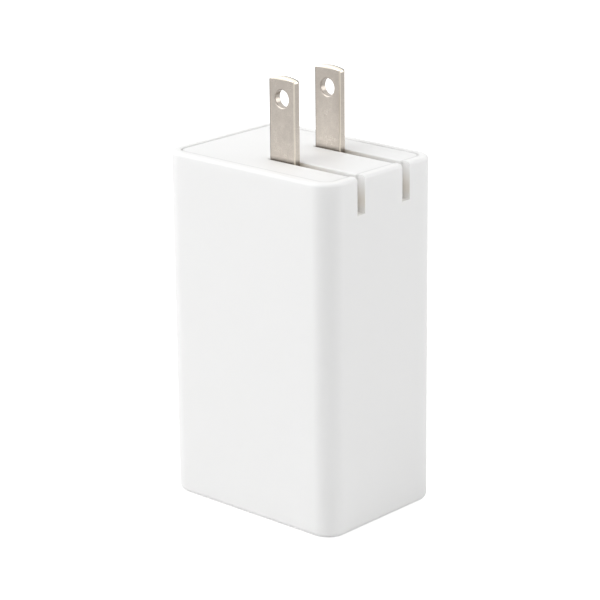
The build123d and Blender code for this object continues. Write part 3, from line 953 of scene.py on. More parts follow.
@dataclass(frozen=True)
class WoundWire(Finish):
    """Layers of enamelled wire: a round ridge for each turn.

    The turns run round the Y axis on the transformer, and through the ring on the choke.

    Attributes:
        pitch: Distance between turns in millimetres.
        ring_middle: Where the choke's axis is, along X and Z.
        ring_reach: How far the choke's wire reaches from its axis.
    """

    pitch: float = 0.45
    ring_middle: tuple[float, float] = (0.0, 0.0)
    ring_reach: float = 1.0

    def surface(self, nodes: Nodes) -> tuple[Value, Value, Value]:
        """The ridge is a parabola across each turn; the gaps between turns get painted shade.

        Args:
            nodes: Maker of the material's nodes.

        Returns:
            Colour, roughness and normal.
        """
        at = nodes.place_on()
        x, y, z = nodes.parts(at)
        out_x, out_z = x - self.ring_middle[0], z - self.ring_middle[1]
        on_ring = (out_x * out_x + out_z * out_z).below(self.ring_reach * self.ring_reach)
        along = y * (1.0 - on_ring) + out_x.turn_from(out_z) * self.ring_reach * on_ring
        wander = nodes.noise(at, 0.5, 1.0)
        across = (along + wander * 0.2).repeat(self.pitch) * (2.0 / self.pitch) - 1.0
        ridge = 1.0 - across * across
        gap = ridge.below(0.35)
        # Painted shade in the gaps between turns.
        colour = nodes.blend(gap * 0.8, self.colour, self.darker(0.6))
        roughness = self.roughness + gap * 0.2 + (wander - 0.5) * 0.1
        return colour, roughness, nodes.bump(ridge, self.pitch * 0.4)


@dataclass(frozen=True)
class SleevedCan(Finish):
    """A shrink sleeve on a can that stands off the board: bare metal at its far end.

    Attributes:
        sleeve_end: Where the sleeve ends, along Y, in millimetres.
        band: Where the pale band begins and ends, from there.
        stripe: Colour of the band.
        metal: Colour of the can.
        sleeve_depth: Thickness of the sleeve.
    """

    sleeve_end: float = 0.0
    band: tuple[float, float] = (1.2, 2.0)
    stripe: Colour = rgb(168, 172, 180)
    metal: Colour = rgb(196, 198, 202)
    sleeve_depth: float = 0.03

    def surface(self, nodes: Nodes) -> tuple[Value, Value, Value]:
        """The metal shows past the sleeve's end; a pale band runs round below it.

        Args:
            nodes: Maker of the material's nodes.

        Returns:
            Colour, roughness and normal.
        """
        at = nodes.place_on()
        _, y, _ = nodes.parts(at)
        band = y.above(self.sleeve_end + self.band[0]) * y.below(self.sleeve_end + self.band[1])
        bare = y.below(self.sleeve_end)
        grain = nodes.noise(at, self.grain, 2.0)
        colour = nodes.blend(band * 0.6, self.colour, self.stripe)
        colour = nodes.blend(bare, colour, self.metal)
        colour = nodes.blend(grain * 0.15, colour, self.darker(0.4))
        roughness = self.roughness + (grain - 0.5) * 0.15
        return colour, roughness, nodes.bump(grain * 0.2 + bare * 0.8, self.sleeve_depth)


def finishes(body: "Body") -> dict[str, Finish]:
    """Every finish, by the material slot that it belongs to.

    Args:
        body: The shared places.

    Returns:
        The finishes by name.
    """
    every = (
        MouldedShell(
            "housing_plastic", rgb(249, 249, 248), 0.42, 5.0, 0.0035, 0.006, glow_through=0.5,
            slot_place=body.blade_y / MM, slot_half=body.slot_half / MM,
            slot_span=(body.slot_start / MM, body.cap_reach / MM),
            slot_rise=(body.slot_floor / MM, body.cap_top / MM - SHADE_FREE_LIP),
            seam=(
                body.cap_reach / MM, body.cap_side / MM, body.cap_corner / MM, body.cap_top / MM,
            ),
        ),
        Finish("carrier_plastic", rgb(206, 205, 202), 0.55, 4.0, 0.006),
        PlatedBlade(
            "plated_blade", rgb(213, 204, 194), 0.30, 7.0, 0.004, metallic=1.0,
            spacing=body.blade_y / MM, sides=(body.blade_left / MM, body.blade_right / MM),
            tip=body.blade_top / MM, foot=body.cap_top / MM,
        ),
        DrawnSheet("steel_parts", rgb(190, 191, 193), 0.32, 6.0, 0.004, metallic=1.0),
        DrawnSheet("spring_bronze", rgb(206, 160, 104), 0.30, 6.0, 0.004, metallic=1.0),
        Finish("wire_sleeve", rgb(34, 34, 36), 0.50, 3.0, 0.006),
        BoardLaminate("board_laminate", rgb(18, 78, 46), 0.38, 6.0, coat=0.3),
        Finish("chip_epoxy", rgb(34, 34, 35), 0.62, 9.0, 0.006, 0.08),
        Finish("chip_ceramic", rgb(170, 146, 112), 0.48, 5.0, 0.004, 0.10),
        Finish("ferrite", rgb(58, 58, 61), 0.58, 7.0, 0.014, 0.12),
        WoundWire(
            "copper_winding", rgb(190, 98, 52), 0.30, metallic=0.7, coat=0.5,
            ring_middle=(body.choke_middle[0] / MM, body.choke_middle[1] / MM),
            ring_reach=body.choke_reach / MM,
        ),
        Finish("polyester_tape", rgb(226, 184, 58), 0.24, 2.0, 0.010, 0.04, coat=0.4),
        SleevedCan("capacitor_can", rgb(26, 34, 58), 0.30, 4.0, sleeve_end=-11.0),
        Finish("film_box", rgb(222, 180, 44), 0.40, 3.0, 0.008, 0.05),
        Finish("ceramic_coat", rgb(38, 84, 158), 0.34, 2.5, 0.012, 0.06, coat=0.3),
        Finish("fuse_body", rgb(84, 50, 34), 0.36, 4.0, 0.006, 0.06),
        Finish("thermistor_coat", rgb(28, 66, 42), 0.36, 2.5, 0.012, 0.06),
        Finish("coupler_body", rgb(226, 225, 219), 0.55, 8.0, 0.006),
        Finish("inductor_iron", rgb(92, 93, 96), 0.66, 10.0, 0.016, 0.14),
        DrawnSheet("port_metal", rgb(206, 207, 209), 0.26, 6.0, 0.003, metallic=1.0),
        Finish("port_insulator", rgb(30, 30, 31), 0.48, 6.0, 0.004),
        Finish("port_insulator_light", rgb(38, 38, 40), 0.46, 6.0, 0.004),
        DrawnSheet("contact_gold", rgb(232, 190, 98), 0.24, 6.0, 0.002, metallic=1.0),
        DrawnSheet("spreader_metal", rgb(204, 205, 207), 0.36, 6.0, 0.006, metallic=1.0),
        Finish("insulating_film", rgb(32, 32, 34), 0.22, 1.5, 0.010, coat=0.5),
        Finish("thermal_silicone", rgb(148, 158, 172), 0.72, 5.0, 0.02, 0.06),
    )
    return {finish.name: finish for finish in every}


# ------------------------------------------------------------ sub-assemblies


@dataclass
class Body:
    """Places that several sub-assemblies share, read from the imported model.

    The cap's reach and side are half its sizes, and the slot's gap is on each side of a blade.
    """

    width: float
    depth: float
    height: float
    cap_top: float
    cap_reach: float
    cap_side: float
    pivot_x: float
    pivot_z: float
    blade_y: float
    blade_left: float
    blade_right: float
    blade_top: float
    slot_floor: float
    choke_middle: tuple[float, float]
    choke_reach: float
    corner: float = 4.2 * MM
    cap_corner: float = 2.2 * MM
    wall: float = 1.9 * MM
    blade_half: float = 0.75 * MM
    slot_gap: float = 0.325 * MM
    slot_end_gap: float = 0.15 * MM
    floor_gap: float = 0.24 * MM
    choke_margin: float = 0.1 * MM

    @classmethod
    def read(cls, frame: dict[str, Any]) -> "Body":
        """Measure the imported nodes.


        Returns:
            The shared places.
        """
        _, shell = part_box("housing_shell")
        _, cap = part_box("prong_cap")
        blade_low, blade_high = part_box("blade_right")
        pivot = frame["joints"][0]["pos_m"]
        choke_low, choke_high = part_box("choke_windings")
        trail = blade_high[0] - pivot[0]
        return cls(
            width=2 * shell[0],
            depth=2 * shell[1],
            height=shell[2],
            cap_top=cap[2],
            cap_reach=cap[0],
            cap_side=cap[1],
            pivot_x=pivot[0],
            pivot_z=pivot[2],
            blade_y=(blade_low[1] + blade_high[1]) / 2,
            blade_left=blade_low[0],
            blade_right=blade_high[0],
            blade_top=blade_high[2],
            slot_floor=pivot[2] - trail - cls.floor_gap,
            choke_middle=tuple((choke_low[axis] + choke_high[axis]) / 2 for axis in (0, 2)),
            choke_reach=(choke_high[2] - choke_low[2]) / 2 + cls.choke_margin,
        )

    @property
    def slot_half(self) -> float:
        """Half the width of a slot."""
        return self.blade_half + self.slot_gap

    @property
    def slot_start(self) -> float:
        """Where a slot begins, just clear of the blade."""
        return self.blade_left - self.slot_end_gap

    @property
    def blade_middle(self) -> float:
        """Middle of the blades along X."""
        return (self.blade_right + self.blade_left) / 2


@dataclass
class Port:
    """One socket in the port end: a metal shell, an insulator with a tongue, and contacts.

    The tongue is its length, thickness and width; a spring's start is counted from the mouth.
    """

    place: str
    slot: str
    along_x: float
    thickness: float
    width: float
    corner: float
    metal: float
    tongue: tuple[float, float, float]
    tongue_side: float
    contact_pitch: float
    contact_count: int
    contact_width: float
    contact_faces: tuple[int, ...]
    spring_rise: float
    spring_start: float = 1.2 * MM
    spring_length: float = 4.5 * MM
    spring_steps: int = 13
    sleeve_edge: float = 0.1 * MM
    insulator_fit: float = 0.03 * MM
    insulator_edge: float = 0.1 * MM
    tongue_corner: float = 0.24 * MM
    tongue_edge: float = 0.12 * MM
    tongue_overlap: float = 0.1 * MM
    strip_depth: float = 0.08 * MM
    strip_edge: float = 0.02 * MM
    corner_steps: int = 10
    tongue_steps: int = 5

    def outline(self, grow: float = 0.0) -> np.ndarray:
        """Outline of the metal shell, grown by a margin.

        Args:
            grow: The margin; a negative one shrinks it.

        Returns:
            Points (n, 2), anticlockwise.
        """
        middle = (self.along_x, 0.0)
        loop = rounded_box(self.thickness, self.width, self.corner, middle, self.corner_steps)
        return inset(loop, -grow)

    def build(self) -> list[bpy.types.Object]:
        """Make the shell, the insulator and the contacts.

        Returns:
            The three pieces.
        """
        return [self._sleeve(), self._insulator(), self._contacts()]

    @property
    def _tongue_x(self) -> float:
        """Middle of the tongue along X."""
        return self.along_x + self.tongue_side

    def _sleeve(self) -> bpy.types.Object:
        """The metal shell with its springs.

        Returns:
            The new piece.
        """
        (_, _, mouth), (_, _, board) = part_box(f"port_shell_{self.place}")
        shell = Shape()
        bore = self.outline(-self.metal)
        shell.slab(self.outline(), mouth, board, self.sleeve_edge, holes=[bore])
        for side in (-1, 1):
            self._spring(shell, side, mouth)
        shell_piece = shell.object(f"port_sleeve_{self.place}", HOUSING)
        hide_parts(f"port_shell_{self.place}")
        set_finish(shell_piece, "port_metal")
        return shell_piece

    def _insulator(self) -> bpy.types.Object:
        """The insulator that fills the shell's far end, with its tongue.

        Returns:
            The new piece.
        """
        length, thickness, width = self.tongue
        (_, _, low), (_, _, high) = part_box(f"port_insulator_{self.place}")
        block = self.outline(-self.metal - self.insulator_fit)
        middle = (self._tongue_x, 0.0)
        tongue = rounded_box(thickness, width, self.tongue_corner, middle, self.tongue_steps)
        insulator = Shape()
        insulator.slab(block, low + length, high, self.insulator_edge)
        insulator.slab(tongue, low, low + length + self.tongue_overlap, self.tongue_edge)
        insulator_piece = insulator.object(f"port_tongue_{self.place}", HOUSING)
        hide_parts(f"port_insulator_{self.place}")
        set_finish(insulator_piece, self.slot)
        return insulator_piece

    def _contacts(self) -> bpy.types.Object:
        """The contacts, flat strips that lie on the tongue.

        Returns:
            The new piece.
        """
        (_, _, low), (_, _, high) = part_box(f"port_contacts_{self.place}")
        _, thickness, _ = self.tongue
        half = self.contact_width / 2
        first = -(self.contact_count - 1) / 2 * self.contact_pitch
        contacts = Shape()
        for face in self.contact_faces:
            inner = self._tongue_x + face * thickness / 2
            outer = inner + face * self.strip_depth
            left, right = min(inner, outer), max(inner, outer)
            for number in range(self.contact_count):
                y = first + number * self.contact_pitch
                strip = box_loop((left, y - half), (right, y + half))
                contacts.slab(strip, low, high, self.strip_edge)
        contact_piece = contacts.object(f"port_strips_{self.place}", HOUSING)
        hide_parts(f"port_contacts_{self.place}")
        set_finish(contact_piece, "contact_gold")
        return contact_piece

    def _spring(self, shape: Shape, side: int, mouth: float) -> None:
        """Two pressed springs on the inside of a wide wall, bowed inwards as half a sine.

        They stand a quarter of the wall's width off its middle, and are an eighth of it wide.

        Args:
            shape: Shape to add to.
            side: Which wide wall, -1 or 1.
            mouth: Height of the shell's mouth.
        """
        inner = self.along_x + side * (self.thickness / 2 - self.metal)
        along = np.linspace(0.0, 1.0, self.spring_steps)
        bow = np.column_stack((
            inner - side * self.spring_rise * np.sin(np.pi * along),
            mouth + self.spring_start + along * self.spring_length,
        ))
        back = bow[[-1, 0]] + (side * self.metal / 2, 0.0)
        loop = np.vstack((bow, back))[::-side]
        half = self.width / 16
        for centre in (-self.width / 4, self.width / 4):
            shape.slab(loop, centre - half, centre + half, facing=Facing.ACROSS)


@dataclass
class Housing:
    """The white shell: an upright tube with a port wall at its foot and a rim round the cap.

    Edges are roundings; the relief is how far past a slot the ledge is drawn back.
    """

    body: Body
    ports: list[Port]
    port_edge: float = 1.1 * MM
    rim_edge: float = 0.7 * MM
    lip_edge: float = 0.24 * MM
    port_wall: float = 2.0 * MM
    cap_thickness: float = 1.8 * MM
    ledge_width: float = 0.8 * MM
    ledge_height: float = 1.6 * MM
    mouth_fit: float = 0.12 * MM
    mouth_bevel: float = 0.35 * MM
    relief: float = 1.1 * MM
    relief_step: float = 0.03 * MM
    post: float = 2.6 * MM
    post_corner: float = 0.2 * MM
    rail_thickness: float = 1.15 * MM
    rail_reach: float = 1.5 * MM
    rail_fit: float = 0.05 * MM
    corner_steps: int = 24
    foot_steps: int = 10
    rim_steps: int = 8
    lip_steps: int = 3
    post_steps: int = 3

    def outline(self) -> np.ndarray:
        """The outer outline, with extra points on the +X side where the notches begin and end.

        Returns:
            Points (n, 2), anticlockwise.
        """
        body = self.body
        inner, outer = body.blade_y - body.slot_half, body.blade_y + body.slot_half
        before, after = inner - self.relief, outer + self.relief
        edges = [before - self.relief_step, before, inner, outer, after, after + self.relief_step]
        breaks = np.array([-edge for edge in reversed(edges)] + edges)
        side = np.column_stack((np.full(len(breaks), body.width / 2), breaks))
        plain = rounded_box(body.width, body.depth, body.corner, steps=self.corner_steps)
        return np.vstack((plain, side))

    def profile(self) -> np.ndarray:
        """Rows of (inset, height): foot rounding, wall, rim, lip, ledge and inner wall.

        Returns:
            The rows (n, 2), from the foot up, over the rim and down again.
        """
        body = self.body
        foot = rounded_foot(self.port_edge, 0.0, self.foot_steps)
        rim = rounded_head(self.rim_edge, body.height, self.rim_steps)
        lip = rounded_head(self.lip_edge, body.height, self.lip_steps)[::-1]
        lip = np.column_stack((body.wall - lip[:, 0], lip[:, 1]))
        ledge = self.ledge_top()
        inner = np.array((
            (body.wall, ledge),
            (body.wall + self.ledge_width, ledge),
            (body.wall + self.ledge_width, ledge - self.ledge_height),
            (body.wall, ledge - self.ledge_height),
            (body.wall, body.slot_floor),
            (body.wall, self.port_wall),
        ))
        return np.vstack((foot, ((0.0, body.slot_floor),), rim, lip, inner))

    def ledge_top(self) -> float:
        """Height of the ledge that the cap sits on."""
        return self.body.cap_top - self.cap_thickness

    def build(self) -> bpy.types.Object:
        """Make the shell.

        Returns:
            The new piece.
        """
        body = self.body
        loop, profile = self.outline(), self.profile()
        rings = np.stack([
            place(inset(loop, d), np.full(len(loop), h), Facing.UP) for d, h in profile
        ])
        self._relieve_ledge(rings, loop, profile)
        faces = grid_faces(len(profile), len(loop), False)
        shape = Shape()
        shape.add(rings.reshape(-1, 3), faces[~self._in_notch(faces, rings)])
        self._notch_walls(shape, profile)
        mouths = [port.outline(self.mouth_fit + self.mouth_bevel) for port in self.ports]
        bores = [port.outline(self.mouth_fit) for port in self.ports]
        shape.fill(inset(loop, self.port_edge), mouths, 0.0, flip=True)
        shape.fill(inset(loop, body.wall), bores, self.port_wall)
        mouth = np.array((
            (-self.mouth_fit - self.mouth_bevel, 0.0),
            (-self.mouth_fit, self.mouth_bevel),
            (-self.mouth_fit, self.port_wall),
        ))
        for port in self.ports:
            shape.skin(port.outline(), mouth, flip=True)
        self._supports(shape)
        piece = shape.object("shell_skin", HOUSING)
        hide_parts("housing_shell")
        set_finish(piece, "housing_plastic")
        return piece

    def _relieve_ledge(self, rings: np.ndarray, loop: np.ndarray, profile: np.ndarray) -> None:
        """Draw the ledge back into the wall where the troughs pass.

        Args:
            rings: Vertices (rows, points, 3), changed in place.
            loop: The outer outline.
            profile: The rows of (inset, height).
        """
        body = self.body
        reach = body.slot_half + self.relief + self.relief_step / 2
        beside = np.abs(np.abs(loop[:, 1]) - body.blade_y) < reach
        near = beside & (loop[:, 0] > body.width / 2 - HAIR)
        rows = profile[:, 0] > body.wall + HAIR
        rings[np.ix_(rows, near, [0])] = body.width / 2 - body.wall

    def _in_notch(self, faces: np.ndarray, rings: np.ndarray) -> np.ndarray:
        """Which quads of the wall the two notches take away.

        Args:
            faces: The quads (n, 4).
            rings: Vertices (rows, points, 3).

        Returns:
            Booleans (n,).
        """
        body = self.body
        centres = rings.reshape(-1, 3)[faces].mean(axis=1)
        across = np.abs(np.abs(centres[:, 1]) - body.blade_y) < body.slot_half
        return across & (centres[:, 0] > body.width / 4) & (centres[:, 2] > body.slot_floor)

    def _notch_walls(self, shape: Shape, profile: np.ndarray) -> None:
        """The cut faces of the wall on both sides of each notch, and the notches' floors.

        Args:
            shape: Shape to add to.
            profile: The rows of (inset, height).
        """
        body = self.body
        in_wall = profile[:, 0] <= body.wall + HAIR
        rows = in_wall & (profile[:, 1] >= body.slot_floor - HAIR)
        face = body.width / 2
        section = np.column_stack((face - profile[rows, 0], profile[rows, 1]))
        for side in (-1, 1):
            for edge in (-1, 1):
                y = side * body.blade_y + edge * body.slot_half
                shape.fill(section, [], y, Facing.ACROSS, flip=edge > 0)
            low = (face - body.wall, side * body.blade_y - body.slot_half)
            high = (face, side * body.blade_y + body.slot_half)
            shape.fill(box_loop(low, high), [], body.slot_floor)

    def _supports(self, shape: Shape) -> None:
        """Corner posts under the port board, and rails at both edges of the main board.

        Args:
            shape: Shape to add to.
        """
        body, post, rail = self.body, self.post, self.rail_thickness
        reach_x, reach_y = body.width / 2 - body.wall, body.depth / 2 - body.wall
        (_, _, board_low), (_, _, board_high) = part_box("port_board")
        for side_x in (-1, 1):
            for side_y in (-1, 1):
                centre = (side_x * (reach_x - post / 2), side_y * (reach_y - post / 2))
                loop = rounded_box(post, post, self.post_corner, centre, self.post_steps)
                shape.slab(loop, self.port_wall, board_low)
        main_low, main_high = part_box("main_board")
        off_edge = self.rail_fit + rail / 2
        for side in (-1, 1):
            for y in (main_low[1] - off_edge, main_high[1] + off_edge):
                centre = (side * (reach_x - self.rail_reach / 2), y)
                loop = rounded_box(
                    self.rail_reach, rail, self.post_corner, centre, self.post_steps
                )
                shape.slab(loop, board_high, main_high[2])


@dataclass
class Cap:
    """The plate at the prong end, with its two slots, their troughs, bearings and bosses.

    Its pocket and the bosses are placed from the pivot, to the left and right along X.
    """

    body: Body
    edge: float = 0.24 * MM
    thickness: float = 1.8 * MM
    trough_wall: float = 1.0 * MM
    bearing_gap: float = 0.05 * MM
    journal: float = 1.5 * MM
    pocket_top: float = 1.85 * MM
    pocket_left: float = 6.05 * MM
    pocket_right: float = 3.25 * MM
    pocket_side: float = 8.2 * MM
    bearing_end: float = 10.2 * MM
    bearing_half: float = 2.8 * MM
    boss_left: float = 8.6 * MM
    boss_right: float = 7.8 * MM
    boss_side: float = 9.825 * MM
    boss_radius: float = 1.9 * MM
    pilot_radius: float = 0.8 * MM
    pilot_depth: float = 6.0 * MM
    bracket_drop: float = 6.84 * MM
    corner_steps: int = 10
    edge_steps: int = 4
    bore_steps: int = 16
    boss_steps: int = 32
    pilot_steps: int = 20

    def build(self) -> bpy.types.Object:
        """Make the cap.

        Returns:
            The new piece.
        """
        body = self.body
        low = body.cap_top - self.thickness
        relief = body.pivot_z + self.pocket_top
        pocket_start = body.pivot_x - self.pocket_left
        pocket_end = body.pivot_x + self.pocket_right
        inner = body.blade_y - body.slot_half
        outline = self.outline()
        top = rounded_head(self.edge, body.cap_top, self.edge_steps)
        shape = Shape()
        shape.skin(outline, np.vstack(((0.0, relief), top)))
        shape.fill(inset(outline, self.edge), [], body.cap_top)
        shape.fill(outline, [], relief, flip=True)
        shape.slab(self.lower_outline(pocket_start, pocket_end), low, relief)
        shape.slab(box_loop((pocket_end, -inner), (body.cap_reach, inner)), low, relief)
        for side in (-1, 1):
            trough = self.trough(side, low)
            shape.slab(trough, pocket_end, body.cap_reach, facing=Facing.ALONG)
            self._bearing(shape, side, relief)
        self._bosses(shape, low)
        piece = shape.object("cap_plate", HOUSING)
        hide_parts("prong_cap")
        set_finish(piece, "housing_plastic")
        return piece

    def _with_detour(self, detour: Sequence[tuple[float, float]]) -> np.ndarray:
        """The plain plate's outline, then points that run in from its +X side and back.

        Args:
            detour: The points.

        Returns:
            Points (n, 2), anticlockwise.
        """
        size_x, size_y = 2 * self.body.cap_reach, 2 * self.body.cap_side
        plate = rounded_box(size_x, size_y, self.body.cap_corner, steps=self.corner_steps)
        return np.vstack((plate, detour))

    def outline(self) -> np.ndarray:
        """The plate's outline, which runs in and out of both slots from the +X side.

        Returns:
            Points (n, 2), anticlockwise.
        """
        body = self.body
        start, end = body.slot_start, body.cap_reach
        inner, outer = body.blade_y - body.slot_half, body.blade_y + body.slot_half
        return self._with_detour([
            (end, -outer), (start, -outer), (start, -inner), (end, -inner),
            (end, inner), (start, inner), (start, outer), (end, outer),
        ])

    def lower_outline(self, pocket_start: float, pocket_end: float) -> np.ndarray:
        """The lower layer's outline: as the plate's, but it runs round the carrier's pocket.

        Args:
            pocket_start: Where the pocket begins along X.
            pocket_end: Where it ends.

        Returns:
            Points (n, 2), anticlockwise.
        """
        end, side = self.body.cap_reach, self.pocket_side
        outer = self.body.blade_y + self.body.slot_half
        return self._with_detour([
            (end, -outer), (pocket_end, -outer), (pocket_end, -side), (pocket_start, -side),
            (pocket_start, side), (pocket_end, side), (pocket_end, outer), (end, outer),
        ])

    def trough(self, side: int, top: float) -> np.ndarray:
        """The U-shaped section of one trough, in (y, z).

        Args:
            side: Which trough, -1 or 1.
            top: Height of its two edges.

        Returns:
            Points (8, 2), anticlockwise.
        """
        body = self.body
        middle, slot = side * body.blade_y, body.slot_half
        wide = slot + self.trough_wall
        floor, foot = body.slot_floor, body.slot_floor - self.trough_wall
        return np.array((
            (middle - wide, foot), (middle + wide, foot), (middle + wide, top),
            (middle + slot, top), (middle + slot, floor), (middle - slot, floor),
            (middle - slot, top), (middle - wide, top),
        ))

    def _bearing(self, shape: Shape, side: int, top: float) -> None:
        """The upper half of one bearing, a block with a half-round bore in its underside.

        Args:
            shape: Shape to add to.
            side: Which bearing, -1 or 1.
            top: Height of the block's top.
        """
        x, z = self.body.pivot_x, self.body.pivot_z
        left, right = x - self.bearing_half, x + self.bearing_half
        bore = self.journal + self.bearing_gap
        loop = np.vstack((
            ((left, z),),
            arc((x, z), bore, 180, 0, self.bore_steps),
            ((right, z), (right, top), (left, top)),
        ))
        near, far = self.pocket_side * side, self.bearing_end * side
        shape.slab(loop, min(near, far), max(near, far), facing=Facing.ACROSS)

    def _bosses(self, shape: Shape, top: float) -> None:
        """Four screw bosses with blind pilot holes.

        Args:
            shape: Shape to add to.
            top: Height where the bosses meet the plate.
        """
        _, (_, _, foot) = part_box("pivot_bracket")
        foot -= self.bracket_drop
        bored = foot + self.pilot_depth
        for x in (self.body.pivot_x - self.boss_left, self.body.pivot_x + self.boss_right):
            for y in (-self.boss_side, self.boss_side):
                ring = arc((x, y), self.boss_radius, 0, 360, self.boss_steps)[:-1]
                pilot = arc((x, y), self.pilot_radius, 0, 360, self.pilot_steps)[:-1]
                shape.slab(ring, foot, bored, holes=[pilot])
                shape.slab(ring, bored, top)


@dataclass
class Prongs:
    """Both blades and the carrier that is moulded round them.

    The cam and the heel stand equally far off the pivot; a journal runs into the hub.
    """

    body: Body
    crown: float = 0.5 * MM
    corner: float = 0.5 * MM
    bevel: float = 0.22 * MM
    thickness: float = 1.5 * MM
    hole: float = 1.68 * MM
    hole_height: float = 11.8 * MM
    shoulder: float = 1.5 * MM
    tail_half: float = 1.5 * MM
    tail_length: float = 5.5 * MM
    sharp_angle: float = 12.0
    hub: float = 1.7 * MM
    cam: float = 2.9 * MM
    cam_round: float = 1.2 * MM
    cam_half: float = 3.0 * MM
    journal_length: float = 2.2 * MM
    journal_radius: float = 1.5 * MM
    journal_overlap: float = 0.1 * MM
    moulded_edge: float = 0.12 * MM
    pin_edge: float = 0.15 * MM
    corner_steps: int = 8
    crown_steps: int = 24
    hole_steps: int = 48
    hub_steps: int = 24
    cam_steps: int = 12
    pin_steps: int = 40

    def blade_outline(self) -> np.ndarray:
        """One blade's outline in (x, z): tail, shoulders, straight sides and a crowned tip.

        The crown is a circle through both side tops and the middle of the tip; each
        corner is a small circle that touches the side and the crown from within.

        Returns:
            Points (n, 2), anticlockwise.
        """
        body = self.body
        half = (body.blade_right - body.blade_left) / 2
        middle = body.blade_middle
        radius = (half**2 + self.crown**2) / (2 * self.crown)
        centre = body.blade_top - radius
        across = half - self.corner
        up = math.sqrt((radius - self.corner) ** 2 - across**2)
        turn = math.degrees(math.atan2(up, across))
        shoulder, foot = body.pivot_z - self.shoulder, body.pivot_z - self.tail_length
        left, right = body.pivot_x - self.tail_half, body.pivot_x + self.tail_half
        top, steps = centre + up, self.corner_steps
        return np.vstack((
            ((left, foot), (right, foot), (right, shoulder), (body.blade_right, shoulder)),
            arc((middle + across, top), self.corner, 0, turn, steps),
            arc((middle, centre), radius, turn, 180 - turn, self.crown_steps)[1:-1],
            arc((middle - across, top), self.corner, 180 - turn, 180, steps),
            ((body.blade_left, shoulder), (left, shoulder)),
        ))

    def build(self) -> list[bpy.types.Object]:
        """Make the blades and the carrier.

        Returns:
            The three pieces.
        """
        body, outline = self.body, self.blade_outline()
        middle = (body.blade_middle, body.height + self.hole_height)
        hole = arc(middle, self.hole, 0, 360, self.hole_steps)[:-1]
        pieces = []
        for name, side in (("left", -1), ("right", 1)):
            shape = Shape()
            low = side * body.blade_y - self.thickness / 2
            high = low + self.thickness
            shape.slab(outline, low, high, self.bevel, Facing.ACROSS, holes=[hole])
            piece = shape.object(f"plated_blade_{name}", PRONGS, smooth=self.sharp_angle)
            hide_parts(f"blade_{name}")
            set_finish(piece, "plated_blade")
            pieces.append(piece)
        pieces.append(self._carrier())
        return pieces

    def _carrier(self) -> bpy.types.Object:
        """The moulded carrier: hub and heel, cam, and a journal at each end.

        Returns:
            The new piece.
        """
        x, z = self.body.pivot_x, self.body.pivot_z
        low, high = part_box("prong_carrier")
        start, end = low[1] + self.journal_length, high[1] - self.journal_length
        cam_end = self.cam - self.cam_round
        hub = np.vstack((
            ((x - self.hub, z - self.cam), (x + self.hub, z - self.cam)),
            arc((x, z), self.hub, 0, 180, self.hub_steps),
        ))
        cam = np.vstack((
            ((x - self.hub, z - self.cam),),
            arc((x + cam_end, z - cam_end), self.cam_round, 270, 360, self.cam_steps),
            ((x + self.cam, z + self.hub),),
            arc((x, z), self.hub, 90, 180, self.cam_steps),
        ))
        pin = arc((x, z), self.journal_radius, 0, 360, self.pin_steps)[:-1]
        shape = Shape()
        shape.slab(hub, start, end, self.moulded_edge, Facing.ACROSS)
        shape.slab(cam, -self.cam_half, self.cam_half, self.moulded_edge, Facing.ACROSS)
        shape.slab(pin, low[1], start + self.journal_overlap, self.pin_edge, Facing.ACROSS)
        shape.slab(pin, end - self.journal_overlap, high[1], self.pin_edge, Facing.ACROSS)
        piece = shape.object("carrier_moulding", PRONGS)
        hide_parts("prong_carrier")
        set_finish(piece, "carrier_plastic")
        return piece


# ------------------------------------------------------------------- studio


@dataclass(frozen=True)
class Lamp:
    """A square soft light that looks at the object.

    Attributes:
        name: Name of the light.
        direction: From the object towards the light.
        power: Its power in watts.
        size: Side of the square.
    """

    name: str
    direction: tuple[float, float, float]
    power: float
    size: float


